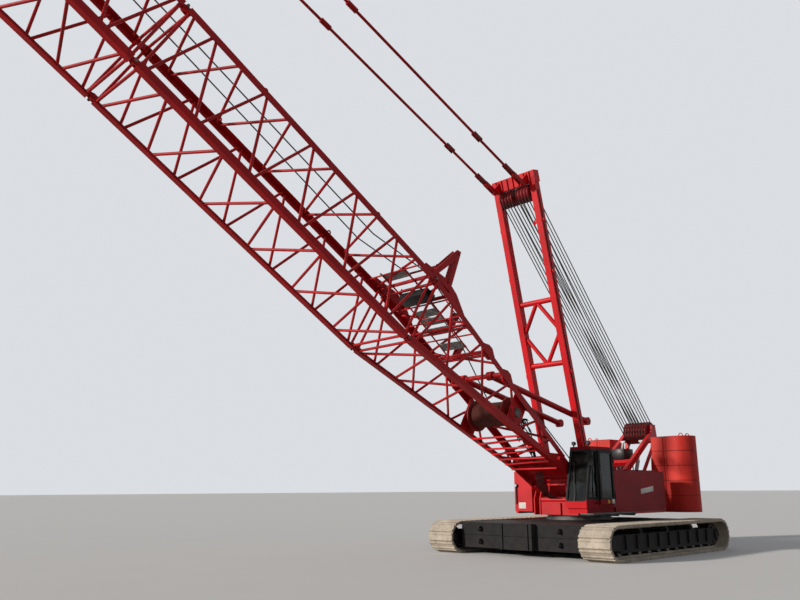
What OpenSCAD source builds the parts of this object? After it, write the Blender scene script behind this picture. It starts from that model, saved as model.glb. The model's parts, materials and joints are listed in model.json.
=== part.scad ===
// Crawler crane with a lattice boom, a boom-hoist mast and a stacked counterweight.
// Half-size model. X runs forward along the boom, Y to the left (cab side), Z up.
// The origin is the slewing axis at ground level.

/* [Crawlers] */
// Height of a crawler over its shoes
crawler_h = 606; // [580:1:720]
// Width of a track shoe
shoe_w = 610; // [500:10:700]
// Number of shoes along the straight top or bottom of a track
run_shoes = 24; // [20:1:26]
// Number of shoes round each end of a track
end_shoes = 5; // [5:1:7]
// Thickness of a shoe outside the pin line
shoe_t = 34; // [26:1:44]
// Height of the two ribs on a shoe
shoe_rib = 9; // [4:1:14]
// Gap between shoes along the pin line
shoe_gap = 11; // [6:1:20]
// Width of the link band under the shoes
link_w = 240; // [180:10:300]
// Depth of the link band inside the pin line
link_t = 40; // [30:1:50]
// Distance between the crawlers' centre lines
gauge = 3450; // [3200:10:3700]
// Width of the crawler frame over its side plates
beam_w = 310; // [290:10:360]
// Half height of the crawler frame
beam_half_h = 125; // [100:5:140]
// Radius of a lower roller
roller_r = 60; // [50:1:62]
// Number of lower rollers in each crawler
roller_count = 11; // [9:1:12]
// Radius of an upper roller
carrier_r = 42; // [30:1:50]

/* [Carbody] */
// Length of the carbody box between its cross beams
carbody_l = 1500; // [1300:10:1700]
// Width of the carbody box
carbody_w = 1900; // [1700:10:2100]
// Underside of the carbody above ground
carbody_z = 200; // [150:10:260]
// Width of a cross beam seen from the side
cross_w = 340; // [280:10:400]
// Height of a cross beam
cross_h = 250; // [200:10:280]
// Outer radius of the slewing ring
ring_r = 650; // [560:10:720]
// Height of the slewing ring
ring_h = 96; // [80:1:120]
// Underside of the superstructure
deck_z = 700; // [690:1:760]
// Length of the wide part of a carbody weight
weight_l = 1230; // [1000:10:1300]
// How far the middle of a carbody weight stands out
weight_nose = 120; // [60:10:160]
// Width of the middle of a carbody weight
weight_nose_w = 725; // [600:5:900]
// Underside of a carbody weight above ground
weight_z = 125; // [100:5:180]
// Height of a carbody weight
weight_h = 460; // [400:5:480]
// Thickness of a weight's lifting lug
lug_t = 30; // [20:1:40]
// Radius of the hole in a lifting lug
lug_bore = 22; // [15:1:26]

/* [Superstructure] */
// Front end of the superstructure frame
bed_front = 700; // [660:5:760]
// Rear end of the superstructure frame
bed_rear = -2640; // [-2680:5:-2500]
// Thickness of the deck plate
deck_t = 60; // [40:2:80]
// Distance of the boom foot and mast foot from the centre plane
foot_y = 500; // [480:5:520]
// Width of a boom or mast foot lug
foot_lug_w = 100; // [80:2:120]
// Side clearance of a foot lug in its ears
foot_gap = 4; // [2:0.5:8]
// Thickness of a foot ear
ear_t = 26; // [20:1:32]
// Radius of a foot ear
ear_r = 92; // [80:1:110]
// Radius of a foot pin
foot_pin_r = 38; // [28:1:48]
// Boom foot pin, forward of the slewing axis
boom_foot_x = 529; // [500:1:560]
// Boom foot pin above ground
boom_foot_z = 1184; // [1150:1:1220]
// Mast foot pin, forward of the slewing axis
mast_foot_x = 250; // [200:1:270]
// Mast foot pin above ground
mast_foot_z = 1213; // [1180:1:1240]
// Distance of the machinery houses' outer sides from the centre plane
house_out = 1045; // [1000:5:1100]
// Distance of the machinery houses' inner sides from the centre plane
house_in = 618; // [605:1:660]
// Top of the left machinery house
house_left_top = 1530; // [1450:5:1600]
// Top of the right machinery house
house_right_top = 1545; // [1450:5:1620]
// Rear end of both machinery houses
house_rear = -1610; // [-1700:5:-1500]

/* [Cab] */
// Width of the cab
cab_w = 450; // [420:5:455]
// Rear face of the cab
cab_rear = 345; // [300:5:400]
// Front of the cab at its floor
cab_front_low = 1330; // [1250:5:1400]
// Front of the cab at its roof
cab_front_top = 1075; // [1000:5:1150]
// Underside of the cab
cab_z = 850; // [820:5:900]
// Top of the cab roof
cab_top = 1965; // [1880:5:2050]
// Thickness of the cab's walls
cab_wall = 34; // [24:1:44]
// Thickness of the cab's glass
glass_t = 8; // [5:1:12]
// Width of the cab door
door_w = 500; // [440:10:540]

/* [Gantry and counterweight] */
// Gantry head, behind the slewing axis
gantry_x = -2655; // [-2680:5:-2500]
// Gantry head above ground
gantry_z = 2425; // [2350:5:2550]
// Width of a gantry leg across the crane
gantry_leg_w = 80; // [70:2:110]
// Distance of a gantry leg from the centre plane
gantry_y = 315; // [300:5:340]
// Foot of the gantry's front leg, behind the slewing axis
gantry_foot_x = -650; // [-700:5:-620]
// Radius of a hoist sheave
sheave_r = 240; // [200:5:250]
// Front face of the counterweight
cw_front = -2200; // [-2250:5:-1950]
// Rear face of the counterweight
cw_rear = -2830; // [-2850:5:-2700]
// Outer side of the counterweight
cw_out = 1350; // [1250:5:1450]
// Inner side of each counterweight stack
cw_in = 510; // [450:5:640]
// Underside of the counterweight tray
cw_z = 705; // [700:5:760]
// Thickness of the counterweight tray
cw_tray_t = 350; // [120:5:400]
// Height of one counterweight slab
cw_slab_h = 310; // [250:1:340]
// Number of slabs in each stack
cw_slabs = 4; // [3:1:5]
// Radius of the counterweight's outer corners
cw_corner = 300; // [200:10:360]

/* [Mast] */
// Length of the mast from foot pin to head pins
mast_l = 6395; // [6200:5:6700]
// Lean of the mast forward of vertical, degrees
mast_lean = 12.8; // [11:0.1:18]
// Distance of a mast leg from the centre plane
mast_leg_y = 455; // [440:5:500]
// Width of a mast leg across the crane
mast_leg_w = 130; // [110:5:180]
// Depth of a mast leg along the crane
mast_leg_d = 155; // [130:5:230]
// Height of the head box that ties the mast legs
mast_head_h = 225; // [180:5:280]
// Pendant pin, forward of the mast's centre line
mast_lug_x = 280; // [270:5:320]
// Pendant pin, below the end of the mast
mast_lug_drop = 240; // [200:5:280]
// Distance of a pendant from the centre plane at the mast
pendant_y = 350; // [320:5:400]
// Radius of a mast head sheave
mast_sheave_r = 175; // [150:5:200]

/* [Boom] */
// Elevation of the boom above horizontal, degrees
boom_elev = 31.16; // [25:0.01:40]
// Length of the boom butt
butt_l = 5415; // [5200:5:5600]
// Length of a full boom insert
insert_l = 5525; // [5300:5:5700]
// Length of the short boom insert
short_l = 2765; // [2600:5:2900]
// Length of the boom top
top_l = 4245; // [4000:5:4400]
// Width of the boom over its chords
boom_w = 1350; // [1250:5:1450]
// Depth of the boom over its chords
boom_d = 1325; // [1250:5:1400]
// Centre line of the boom above its foot pin
boom_rise = 53; // [30:1:80]
// Flange of a chord angle
chord_f = 106; // [90:1:120]
// Thickness of a chord angle
chord_t = 12; // [10:1:16]
// Diameter of a lacing tube
lacing_d = 45; // [36:1:56]
// Number of lacing half-bays in a full insert
insert_bays = 11; // [9:2:13]
// Radius of a section pin
joint_pin_r = 24; // [18:1:28]
// Radius of a section lug
joint_lug_r = 46; // [40:1:52]
// Thickness of a section's tongue lug
tongue_t = 30; // [24:1:36]
// Thickness of a section's fork lug
fork_t = 20; // [16:1:24]
// Width of the boom at its point
tip_w = 760; // [700:5:900]
// Radius of a point sheave
point_r = 210; // [180:5:230]

/* [Hook] */
// Length of the load falls
falls_l = 690; // [640:10:800]
// Radius of a load rope
rope_r = 11; // [8:1:14]

/* [Clearances] */
// Gap at a seat between curved or moving faces
seat = 0.3; // [0.2:0.1:0.6]
// Gap beside a turning part
side_gap = 2; // [1:0.5:5]
// Depth of a rope groove in a sheave
groove_d = 26; // [18:1:34]

/* [Hidden] */
red = [0.72, 0.07, 0.08];
black = [0.06, 0.06, 0.065];
steel = [0.35, 0.34, 0.33];
dusty = [0.62, 0.56, 0.48];
$fn = 48;

// Crawler layout
wheel_z = crawler_h / 2;
pin_r = wheel_z - shoe_t - shoe_rib;
shoe_pitch = PI * pin_r / end_shoes;
shoe_count = 2 * (run_shoes + end_shoes);
run_l = run_shoes * shoe_pitch;
band_r = pin_r - link_t;
wheel_r = band_r * cos(90 / end_shoes) - seat;
beam_plate = 26;
roller_top = 2 * roller_r + seat - band_r;
axle_r = 62;
carrier_step = 950;
crawler_y = gauge / 2;
track_in = crawler_y - shoe_w / 2;

// Boom layout, in the boom's own frame: X along the boom from the foot pin
top_z = boom_rise + boom_d / 2;
low_z = boom_rise - boom_d / 2;
half_w = boom_w / 2;
section_1 = butt_l;
section_2 = section_1 + insert_l;
section_3 = section_2 + insert_l;
section_4 = section_3 + insert_l;
section_5 = section_4 + short_l;
boom_l = section_5 + top_l;
lug_back = joint_lug_r + 34;
lug_drop = joint_lug_r + chord_t - 3;
lug_in = 62;
lug_len = 110;
chord_back = 52;
strut_in = 29;
node_gap = 30;
end_in = 35;

// Helpers
module on_boom() translate([boom_foot_x, 0, boom_foot_z]) rotate([0, -boom_elev, 0]) children();
module on_mast() translate([mast_foot_x, 0, mast_foot_z]) rotate([0, mast_lean, 0]) children();
module both_sides() { children(); mirror([0, 1, 0]) children(); }
// A plate with its outline in X and Z, from y0 to y0 + t
module plate_y(y0, t) translate([0, y0 + t, 0]) rotate([90, 0, 0]) linear_extrude(t) children();
// Turns +Z to the line from p to q, starting at p
module along(p, q) {
    v = q - p;
    translate(p) rotate([0, acos(v.z / norm(v)), atan2(v.y, v.x)]) children();
}
module tube(p, q, r) along(p, q) cylinder(r = r, h = norm(q - p), $fn = 24);
// A bar w wide across Y and d deep
module bar(p, q, w, d) along(p, q) translate([-d / 2, -w / 2, 0]) cube([d, w, norm(q - p)]);
module block(x, y, z) translate([x[0], y[0], z[0]]) cube([x[1] - x[0], y[1] - y[0], z[1] - z[0]]);
// A pin or round bar along Y, centred on y
module pin_y(x, y, z, r, w) translate([x, y + w / 2, z]) rotate([90, 0, 0]) cylinder(r = r, h = w);

// Crawlers

// Point and tangent angle on the pin line, s along it from the rear of the bottom run
function loop_at(s) =
    let (half = run_l / 2, arc = PI * pin_r)
    s < run_l ? [-half + s, -pin_r, 0]
    : s < run_l + arc ?
        let (a = -90 + (s - run_l) / pin_r * 180 / PI) [half + pin_r * cos(a), pin_r * sin(a), a + 90]
    : s < 2 * run_l + arc ? [half - (s - run_l - arc), pin_r, 180]
    : let (a = 90 + (s - 2 * run_l - arc) / pin_r * 180 / PI)
        [-half + pin_r * cos(a), pin_r * sin(a), a + 90];
// Pin joint i, moved v outwards
function joint_at(i, v) =
    let (c = loop_at((i % shoe_count) * shoe_pitch)) [c.x + v * sin(c[2]), c.y - v * cos(c[2])];
// Outline of the shoe between joints i and i + 1: straight, with two ribs
function shoe_outline(i) =
    let (p = joint_at(i, 0), q = joint_at(i + 1, 0), l = norm(q - p), d = (q - p) / l, n = [d.y, -d.x],
         h = shoe_gap / 2, rib = shoe_t + shoe_rib)
    [for (c = [[h, 0], [h, shoe_t], [h + 12, rib], [h + 34, rib], [h + 44, shoe_t],
               [l - h - 44, shoe_t], [l - h - 34, rib], [l - h - 12, rib], [l - h, shoe_t], [l - h, 0]])
        p + c.x * d + c.y * n];
module band_outline(v) polygon([for (i = [0:shoe_count - 1]) joint_at(i, v)]);
module track() {
    translate([0, 0, wheel_z]) {
        plate_y(-shoe_w / 2, shoe_w) difference() {
            polygon([for (i = [0:shoe_count - 1], c = shoe_outline(i)) c]);
            band_outline(-12);
        }
        plate_y(-link_w / 2, link_w) difference() {
            band_outline(-5);
            band_outline(-link_t);
        }
    }
}
module wheels() {
    inner_w = beam_w - 2 * beam_plate;
    // Drive tumbler and idler
    for (x = [-run_l / 2, run_l / 2]) {
        pin_y(x, 0, wheel_z, wheel_r, link_w - 60);
        pin_y(x, 0, wheel_z, 150, inner_w);
        pin_y(x, 0, wheel_z, axle_r, beam_w);
    }
    for (i = [0:roller_count - 1]) {
        x = (i - (roller_count - 1) / 2) * (run_l - 560) / (roller_count - 1);
        pin_y(x, 0, wheel_z - band_r + roller_r + seat, roller_r, inner_w);
    }
    for (i = [-1:1])
        pin_y(i * carrier_step, 0, wheel_z + band_r - carrier_r - seat, carrier_r, inner_w);
}
module crawler_frame() {
    inner_w = beam_w - 2 * beam_plate;
    translate([0, 0, wheel_z]) {
        for (y = [-beam_w / 2, beam_w / 2 - beam_plate])
            plate_y(y, beam_plate) difference() {
                union() {
                    translate([-run_l / 2, -beam_half_h]) square([run_l, 2 * beam_half_h]);
                    for (x = [-run_l / 2, run_l / 2]) translate([x, 0]) circle(beam_half_h);
                    translate([-run_l / 2 + 260, -beam_half_h - 45]) square([run_l - 520, 80]);
                    for (i = [-1:1])
                        translate([i * carrier_step - 45, 0]) square([90, band_r - carrier_r + 20]);
                }
                for (x = [-run_l / 2, run_l / 2]) translate([x, 0]) circle(axle_r + seat);
            }
        block([-run_l / 2 + 300, run_l / 2 - 300], [-inner_w / 2 - 1, inner_w / 2 + 1],
              [roller_top + 8, beam_half_h]);
        // Ribs on the outer face
        for (i = [-4:4])
            block([i * 380 - 12, i * 380 + 12], [beam_w / 2 - 1, beam_w / 2 + 36],
                  [-beam_half_h + 10, beam_half_h - 10]);
        // Travel drive on the inner face at the rear
        pin_y(-run_l / 2, -beam_w / 2 - 60, 0, 105, 120);
        for (x = [-run_l / 2, run_l / 2]) pin_y(x, beam_w / 2 + 15, 0, 84, 30);
    }
}

// Undercarriage

module carbody() {
    cross_x = carbody_l / 2 - cross_w / 2;
    difference() {
        block([-carbody_l / 2, carbody_l / 2], [-carbody_w / 2, carbody_w / 2],
              [carbody_z, deck_z - ring_h - 20]);
        translate([0, 0, carbody_z - 1]) cylinder(r = ring_r - 170, h = deck_z);
    }
    for (s = [-1, 1])
        block([s * cross_x - cross_w / 2, s * cross_x + cross_w / 2],
              [-crawler_y + beam_w / 2, crawler_y - beam_w / 2],
              [carbody_z + 10, carbody_z + 10 + cross_h]);
    translate([0, 0, deck_z - ring_h - 60]) difference() {
        cylinder(r = ring_r + 60, h = 60);
        translate([0, 0, -1]) cylinder(r = ring_r - 170, h = 62);
    }
}
module slew_ring() {
    translate([0, 0, deck_z - ring_h]) difference() {
        union() {
            cylinder(r = ring_r - 30, h = ring_h - seat);
            translate([0, 0, 6]) cylinder(r = ring_r, h = ring_h * 0.45);
        }
        translate([0, 0, -1]) cylinder(r = ring_r - 150, h = ring_h + 2);
    }
}
module lifting_lug(x, y, z) {
    plate_y(y - lug_t / 2, lug_t) difference() {
        union() {
            translate([x - 1, z - 46]) square([47, 92]);
            translate([x + 46, z]) circle(46);
        }
        translate([x + 46, z]) circle(lug_bore);
    }
}
module carbody_weight() {
    x0 = carbody_l / 2;
    x1 = x0 + weight_l;
    w = track_in - 40;
    mid = weight_z + weight_h / 2;
    seam = 6;
    difference() {
        union() {
            block([x0, x1], [-w, w], [weight_z, weight_z + weight_h]);
            block([x0, x1 + weight_nose], [-weight_nose_w / 2, weight_nose_w / 2],
                  [weight_z, weight_z + weight_h]);
        }
        block([x1 - seam * 3, x1 + weight_nose + 1], [-w - 1, w + 1], [mid - seam / 2, mid + seam / 2]);
        for (y = [-weight_nose_w / 2 + 60, weight_nose_w / 2 - 90])
            block([x1 + weight_nose - 22, x1 + weight_nose + 1], [y, y + 30],
                  [weight_z - 1, weight_z + weight_h + 1]);
    }
    for (y = [-900, 900], z = [mid - 115, mid + 115]) lifting_lug(x1, y, z);
}

// Superstructure

ear_in = foot_y - foot_lug_w / 2 - foot_gap - ear_t;
ear_out = foot_y + foot_lug_w / 2 + foot_gap;
deck_top = deck_z + deck_t;
girder_top = deck_z + 360;
girder_rear_top = deck_z + 230;
hole_r = 70;
front_drum_x = -330;
rear_drum_x = -860;
hoist_drum_x = -1560;
rail_y = [house_out - 80, house_out - 20];
rail_z = [deck_z + 20, deck_top];
outrigger_w = 60;
outrigger_step = 620;
// Side plate of the main frame, back to x = rear
module girder_outline(rear) {
    difference() {
        union() {
            polygon([
                [rear, deck_z], [bed_front, deck_z], [bed_front, girder_top - 50],
                [boom_foot_x + ear_r, boom_foot_z], [boom_foot_x - ear_r, boom_foot_z],
                [(boom_foot_x + mast_foot_x) / 2, girder_top + 30],
                [mast_foot_x + ear_r, mast_foot_z], [mast_foot_x - ear_r, mast_foot_z],
                [mast_foot_x - 260, girder_top + 50], [bed_rear / 2, girder_top + 20], [rear, girder_rear_top]
            ]);
            translate([boom_foot_x, boom_foot_z]) circle(ear_r);
            translate([mast_foot_x, mast_foot_z]) circle(ear_r);
        }
        for (k = [0:2])
            translate([bed_rear + 340 + k * 520, (deck_z + girder_top) / 2]) circle(hole_r);
    }
}
module bed() {
    inside = [-ear_in - 5, ear_in + 5];
    wall_t = 20;
    both_sides() {
        plate_y(ear_in, ear_t) girder_outline(bed_rear);
        plate_y(ear_out, ear_t) girder_outline(cw_front + 20);
        for (f = [[boom_foot_x, boom_foot_z], [mast_foot_x, mast_foot_z]])
            pin_y(f[0], foot_y, f[1], foot_pin_r, ear_out - ear_in + ear_t + 8);
        // Outriggers of the deck that carry the houses and the cab
        for (k = [0:3]) {
            x = house_rear + 50 + k * outrigger_step;
            block([x, x + outrigger_w], [ear_out, rail_y[1]], rail_z);
        }
        block([house_rear, bed_front], rail_y, rail_z);
    }
    block([bed_front - 1, cab_front_low - 60], rail_y, rail_z);
    block([bed_rear + wall_t, bed_front - wall_t], inside, [deck_z, deck_top]);
    for (x = [bed_front - wall_t, boom_foot_x - 350, (rear_drum_x + hoist_drum_x) / 2 - 10,
              hoist_drum_x - 340, bed_rear + 260])
        block([x - wall_t, x], inside, [deck_top - 5, girder_top - 110]);
    // Front box between the boom feet
    block([bed_front - 24, bed_front + 18], [-350, 60], [deck_z + 8, girder_top - 130]);
    // Cross tube ahead of the boom feet
    pin_y(bed_front - 60, 0, girder_top - 70, 52, 2 * ear_in + 10);
    translate([0, 0, deck_z]) cylinder(r = ring_r - 35, h = deck_t);
}
module house_left() {
    cover_l = 330;
    cover_h = 26;
    block([house_rear, cab_rear - 6], [house_in, house_out], [deck_top, house_left_top]);
    for (k = [0:3]) {
        x = house_rear + 110 + k * 450;
        block([x, x + cover_l], [house_in + 60, house_out - 60], [house_left_top - 1, house_left_top + cover_h]);
    }
}
module house_right() {
    hood_x = [house_rear + 50, house_rear + 1050];
    hood_h = 150;
    pipe_h = 260;
    cut_w = 600;
    difference() {
        block([house_rear, bed_front + 4], [-house_out, -house_in], [deck_top, house_right_top]);
        // Chamfer along the outer roof edge
        translate([house_rear - 1, -house_out, house_right_top]) rotate([-58, 0, 0])
            translate([0, -cut_w, -110]) cube([bed_front - house_rear + 10, cut_w, cut_w]);
    }
    // Raised engine hood and its exhaust
    block(hood_x, [-house_out + 180, -house_in - 20], [house_right_top - 1, house_right_top + hood_h]);
    translate([hood_x[0] + 210, -(house_in + house_out) / 2 + 50, house_right_top + hood_h - 1])
        cylinder(r = 45, h = pipe_h);
}
module winch(x, z, half_w, core_r, flange_r, shaft_w) {
    pin_y(x, 0, z, 60, 2 * shaft_w);
    pin_y(x, 0, z, core_r, 2 * half_w);
    for (s = [-1, 1]) pin_y(x, s * (half_w - 13), z, flange_r, 26);
}
drum_z = deck_top + 280;
drum_half = gantry_y - gantry_leg_w / 2 - 15;
module drum_front() winch(front_drum_x, drum_z, drum_half, 190, 270, ear_in);
module drum_rear() winch(rear_drum_x, drum_z, drum_half, 190, 250, ear_in);
module drum_boom_hoist() winch(hoist_drum_x, drum_z - 40, drum_half, 150, 230, ear_in);
module walkway_left() {
    walk_w = 250;
    block([cab_rear - 300, cab_front_low + 190], [rail_y[1], house_out + walk_w], [deck_z + 26, deck_z + 52]);
    for (x = [cab_rear - 280, cab_rear + 300, cab_front_low - 110])
        block([x, x + 40], [rail_y[1], house_out + walk_w - 10], [deck_z + 4, deck_z + 27]);
}

// Gantry and counterweight

module gantry() {
    foot_w = gantry_leg_w + 6;
    foot_span = [gantry_y - foot_w / 2, gantry_y + foot_w / 2];
    plate_w = gantry_leg_w - 4;
    front_z = deck_top + 300;
    rear_z = deck_top + 200;
    strut_x = gantry_foot_x - 1070;
    both_sides() {
        head = [gantry_x, gantry_y, gantry_z];
        bar([gantry_foot_x, gantry_y, front_z], head, gantry_leg_w, 120);
        bar([bed_rear + 100, gantry_y, rear_z], head, gantry_leg_w - 10, 70);
        // Thin strut from the deck to the head plate
        bar([strut_x, gantry_y, front_z], [gantry_x - 50, gantry_y, gantry_z - 230], gantry_leg_w - 30, 60);
        plate_y(gantry_y - plate_w / 2, plate_w) polygon([
            [gantry_x + 110, gantry_z - 25], [gantry_x + 65, gantry_z + 165], [gantry_x - 85, gantry_z + 175],
            [gantry_x - 130, gantry_z - 85], [gantry_x - 60, gantry_z - 245], [gantry_x + 80, gantry_z - 200]]);
        block([gantry_foot_x - 130, gantry_foot_x + 130], foot_span, [deck_top, front_z + 50]);
        block([strut_x - 60, strut_x + 60], foot_span, [deck_top, front_z + 40]);
        block([bed_rear + 22, bed_rear + 180], foot_span, [deck_top, rear_z + 40]);
    }
    pin_y(gantry_x, 0, gantry_z, gantry_pin_r, 2 * gantry_y);
    // Cross beam between the front legs
    mid = [(gantry_foot_x + gantry_x) / 2, (front_z + gantry_z) / 2];
    translate([mid.x, 0, mid.y]) rotate([0, 45, 0])
        translate([-50, -gantry_y, -50]) cube([100, 2 * gantry_y, 100]);
}
module sheave_set(x, z, r, n, half, bore) {
    w = 2 * half / n;
    groove = rope_r + 1;
    for (i = [0:n - 1])
        translate([x, -half + (i + 1) * w, z]) rotate([90, 0, 0]) rotate_extrude()
            polygon([[bore, 0.5], [r, 0.5], [r, 4], [r - groove_d, w / 2 - groove],
                     [r - groove_d, w / 2 + groove], [r, w - 4], [r, w - 0.5], [bore, w - 0.5]]);
}
gantry_pin_r = 50;
module gantry_sheaves() {
    sheave_set(gantry_x, gantry_z, sheave_r, 8, gantry_y - gantry_leg_w / 2 - side_gap, gantry_pin_r + seat);
}
module cw_plan() {
    intersection() {
        translate([cw_rear, cw_in]) square([cw_front - cw_rear, cw_out - cw_in]);
        union() {
            translate([cw_rear, cw_in - 10]) square([cw_front - cw_rear, cw_out - cw_in - cw_corner + 10]);
            translate([cw_rear + cw_corner, cw_in])
                square([cw_front - cw_rear - 2 * cw_corner, cw_out - cw_in]);
            for (x = [cw_rear + cw_corner, cw_front - cw_corner])
                translate([x, cw_out - cw_corner]) circle(cw_corner);
        }
    }
}
module counterweight_tray() {
    both_sides() translate([0, 0, cw_z]) linear_extrude(cw_tray_t) cw_plan();
    block([cw_rear + 40, bed_rear], [-cw_in - 1, cw_in + 1], [cw_z, cw_z + cw_tray_t]);
}
module counterweight_stack() {
    base = cw_z + cw_tray_t;
    link_y = cw_in + 270;
    difference() {
        translate([0, 0, base]) linear_extrude(cw_slab_h * cw_slabs) cw_plan();
        for (i = [1:cw_slabs - 1])
            translate([0, 0, base + i * cw_slab_h - 4]) linear_extrude(8) difference() {
                translate([cw_rear - 10, cw_in - 10]) square([cw_front - cw_rear + 20, cw_out - cw_in + 20]);
                offset_plan();
            }
        // Recess for the lifting link on the front face
        block([cw_front - 40, cw_front + 1], [link_y, link_y + 70], [base - 1, base + cw_slab_h * cw_slabs + 1]);
    }
    block([cw_front - 41, cw_front - 8], [link_y + 10, link_y + 60], [base, base + cw_slab_h * cw_slabs]);
}
module offset_plan() {
    m = 14;
    intersection() {
        translate([cw_rear + m, cw_in + m]) square([cw_front - cw_rear - 2 * m, cw_out - cw_in - 2 * m]);
        union() {
            translate([cw_rear, cw_in]) square([cw_front - cw_rear, cw_out - cw_in - cw_corner]);
            translate([cw_rear + cw_corner, cw_in])
                square([cw_front - cw_rear - 2 * cw_corner, cw_out - cw_in]);
            for (x = [cw_rear + cw_corner, cw_front - cw_corner])
                translate([x, cw_out - cw_corner]) circle(cw_corner - m);
        }
    }
}

// Cab

cab_in = house_out - cab_w;
module cab_side(inset) {
    polygon([
        [cab_rear + inset, cab_z + inset], [cab_front_low - inset, cab_z + inset],
        [cab_front_low - inset, cab_z + 120], [cab_front_top - inset, cab_top - inset],
        [cab_rear + inset, cab_top - inset]
    ]);
}
door_x = [cab_rear + 60, cab_rear + 60 + door_w];
door_z = [cab_z + 60, cab_top - 70];
door_t = 36;
door_gap = 5;
hinge_x = door_x[0] - 15;
hinge_y = house_out + door_gap + door_t;
hinge_r = 14;
hinge_pin_r = 7;
hinge_h = 80;
hinge_zs = [door_z[0] + 120, door_z[1] - 200];
knuckle_h = 20;
knuckle_gap = 2;
module cab_shell() {
    difference() {
        plate_y(cab_in, cab_w) cab_side(0);
        plate_y(cab_in + cab_wall, cab_w - 2 * cab_wall) cab_side(cab_wall);
        // Door opening, front-left window, right window, rear window
        block([door_x[0] + 20, door_x[1] - 20], [house_out - cab_wall - 1, house_out + 1],
              [door_z[0] + 20, door_z[1] - 20]);
        plate_y(house_out - cab_wall - 1, cab_wall + 2) polygon([
            [door_x[1] + 30, cab_z + 190], [cab_front_low - 70, cab_z + 190],
            [cab_front_top - 35, cab_top - 90], [door_x[1] + 30, cab_top - 90]]);
        plate_y(cab_in - 1, cab_wall + 2) polygon([
            [cab_rear + 90, cab_z + 420], [cab_front_low - 110, cab_z + 420],
            [cab_front_top - 45, cab_top - 90], [cab_rear + 90, cab_top - 90]]);
        block([cab_rear - 1, cab_rear + cab_wall + 1], [cab_in + 70, house_out - 70],
              [house_left_top + 60, cab_top - 80]);
        // Windscreen
        block([cab_front_top - 120, cab_front_low + 10], [cab_in + 42, house_out - 42],
              [cab_z + 130, cab_top - 80]);
        // Roof window
        block([cab_front_top - 330, cab_front_top - 90], [cab_in + 70, house_out - 70],
              [cab_top - cab_wall - 1, cab_top + 1]);
    }
    // Carrier under the cab
    block([cab_rear + 40, cab_front_low - 40], [cab_in + 30, house_out - 19],
          [deck_top, cab_z + 1]);
    // Hinge brackets, knuckles and pins of the door
    for (z = hinge_zs) {
        for (k = [z - knuckle_h - knuckle_gap, z + hinge_h + knuckle_gap]) {
            block([hinge_x - hinge_r + 2, hinge_x + 6], [house_out - 1, hinge_y], [k, k + knuckle_h]);
            translate([hinge_x, hinge_y, k]) cylinder(r = hinge_r, h = knuckle_h);
        }
        translate([hinge_x, hinge_y, z - knuckle_h]) cylinder(r = hinge_pin_r, h = hinge_h + 2 * knuckle_h);
    }
}
module cab_glass() {
    g = glass_t;
    plate_y(house_out - cab_wall / 2 - g / 2, g) polygon([
        [door_x[1] + 30, cab_z + 190], [cab_front_low - 70, cab_z + 190],
        [cab_front_top - 35, cab_top - 90], [door_x[1] + 30, cab_top - 90]]);
    plate_y(cab_in + cab_wall / 2 - g / 2, g) polygon([
        [cab_rear + 90, cab_z + 420], [cab_front_low - 110, cab_z + 420],
        [cab_front_top - 45, cab_top - 90], [cab_rear + 90, cab_top - 90]]);
    block([cab_rear + cab_wall / 2 - g / 2, cab_rear + cab_wall / 2 + g / 2],
          [cab_in + 70, house_out - 70], [house_left_top + 60, cab_top - 80]);
    block([cab_front_top - 330, cab_front_top - 90], [cab_in + 70, house_out - 70],
          [cab_top - cab_wall / 2 - g / 2, cab_top - cab_wall / 2 + g / 2]);
    // Raked windscreen
    plate_y(cab_in + 42, cab_w - 84) polygon([
        windscreen_at(cab_z + 130, 14), windscreen_at(cab_top - 80, 14),
        windscreen_at(cab_top - 80, 14 + g), windscreen_at(cab_z + 130, 14 + g)]);
}
// A point at height z, depth d behind the raked front
function windscreen_at(z, d) =
    [cab_front_low + (cab_front_top - cab_front_low) * (z - cab_z - 120) / (cab_top - cab_z - 120) - d, z];
module cab_seat() {
    y = (cab_in + house_out) / 2;
    floor_z = cab_z + cab_wall;
    block([cab_rear + 200, cab_rear + 440], [y - 120, y + 120], [floor_z, floor_z + 230]);
    block([cab_rear + 180, cab_rear + 460], [y - 135, y + 135], [floor_z + 229, floor_z + 290]);
    block([cab_rear + 150, cab_rear + 215], [y - 130, y + 130], [floor_z + 229, floor_z + 640]);
    block([cab_front_low - 240, cab_front_low - 90], [y - 150, y + 150], [floor_z, floor_z + 330]);
}
module cab_door() {
    y0 = house_out + door_gap;
    difference() {
        union() {
            difference() {
                block(door_x, [y0, y0 + door_t], door_z);
                block([door_x[0] + 45, door_x[1] - 45], [y0 - 1, y0 + door_t + 1],
                      [door_z[0] + 110, door_z[1] - 45]);
            }
            for (z = hinge_zs) {
                block([hinge_x, door_x[0] + 1], [hinge_y - hinge_r + 2, hinge_y], [z, z + hinge_h]);
                translate([hinge_x, hinge_y, z]) cylinder(r = hinge_r, h = hinge_h);
            }
        }
        for (z = hinge_zs)
            translate([hinge_x, hinge_y, z - 1]) cylinder(r = hinge_pin_r + seat, h = hinge_h + 2);
    }
}
module cab_door_glass() {
    y0 = house_out + door_gap + (door_t - glass_t) / 2;
    block([door_x[0] + 45, door_x[1] - 45], [y0, y0 + glass_t], [door_z[0] + 110, door_z[1] - 45]);
}

// Mast, in its own frame: Z along the mast from the foot pin

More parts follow.
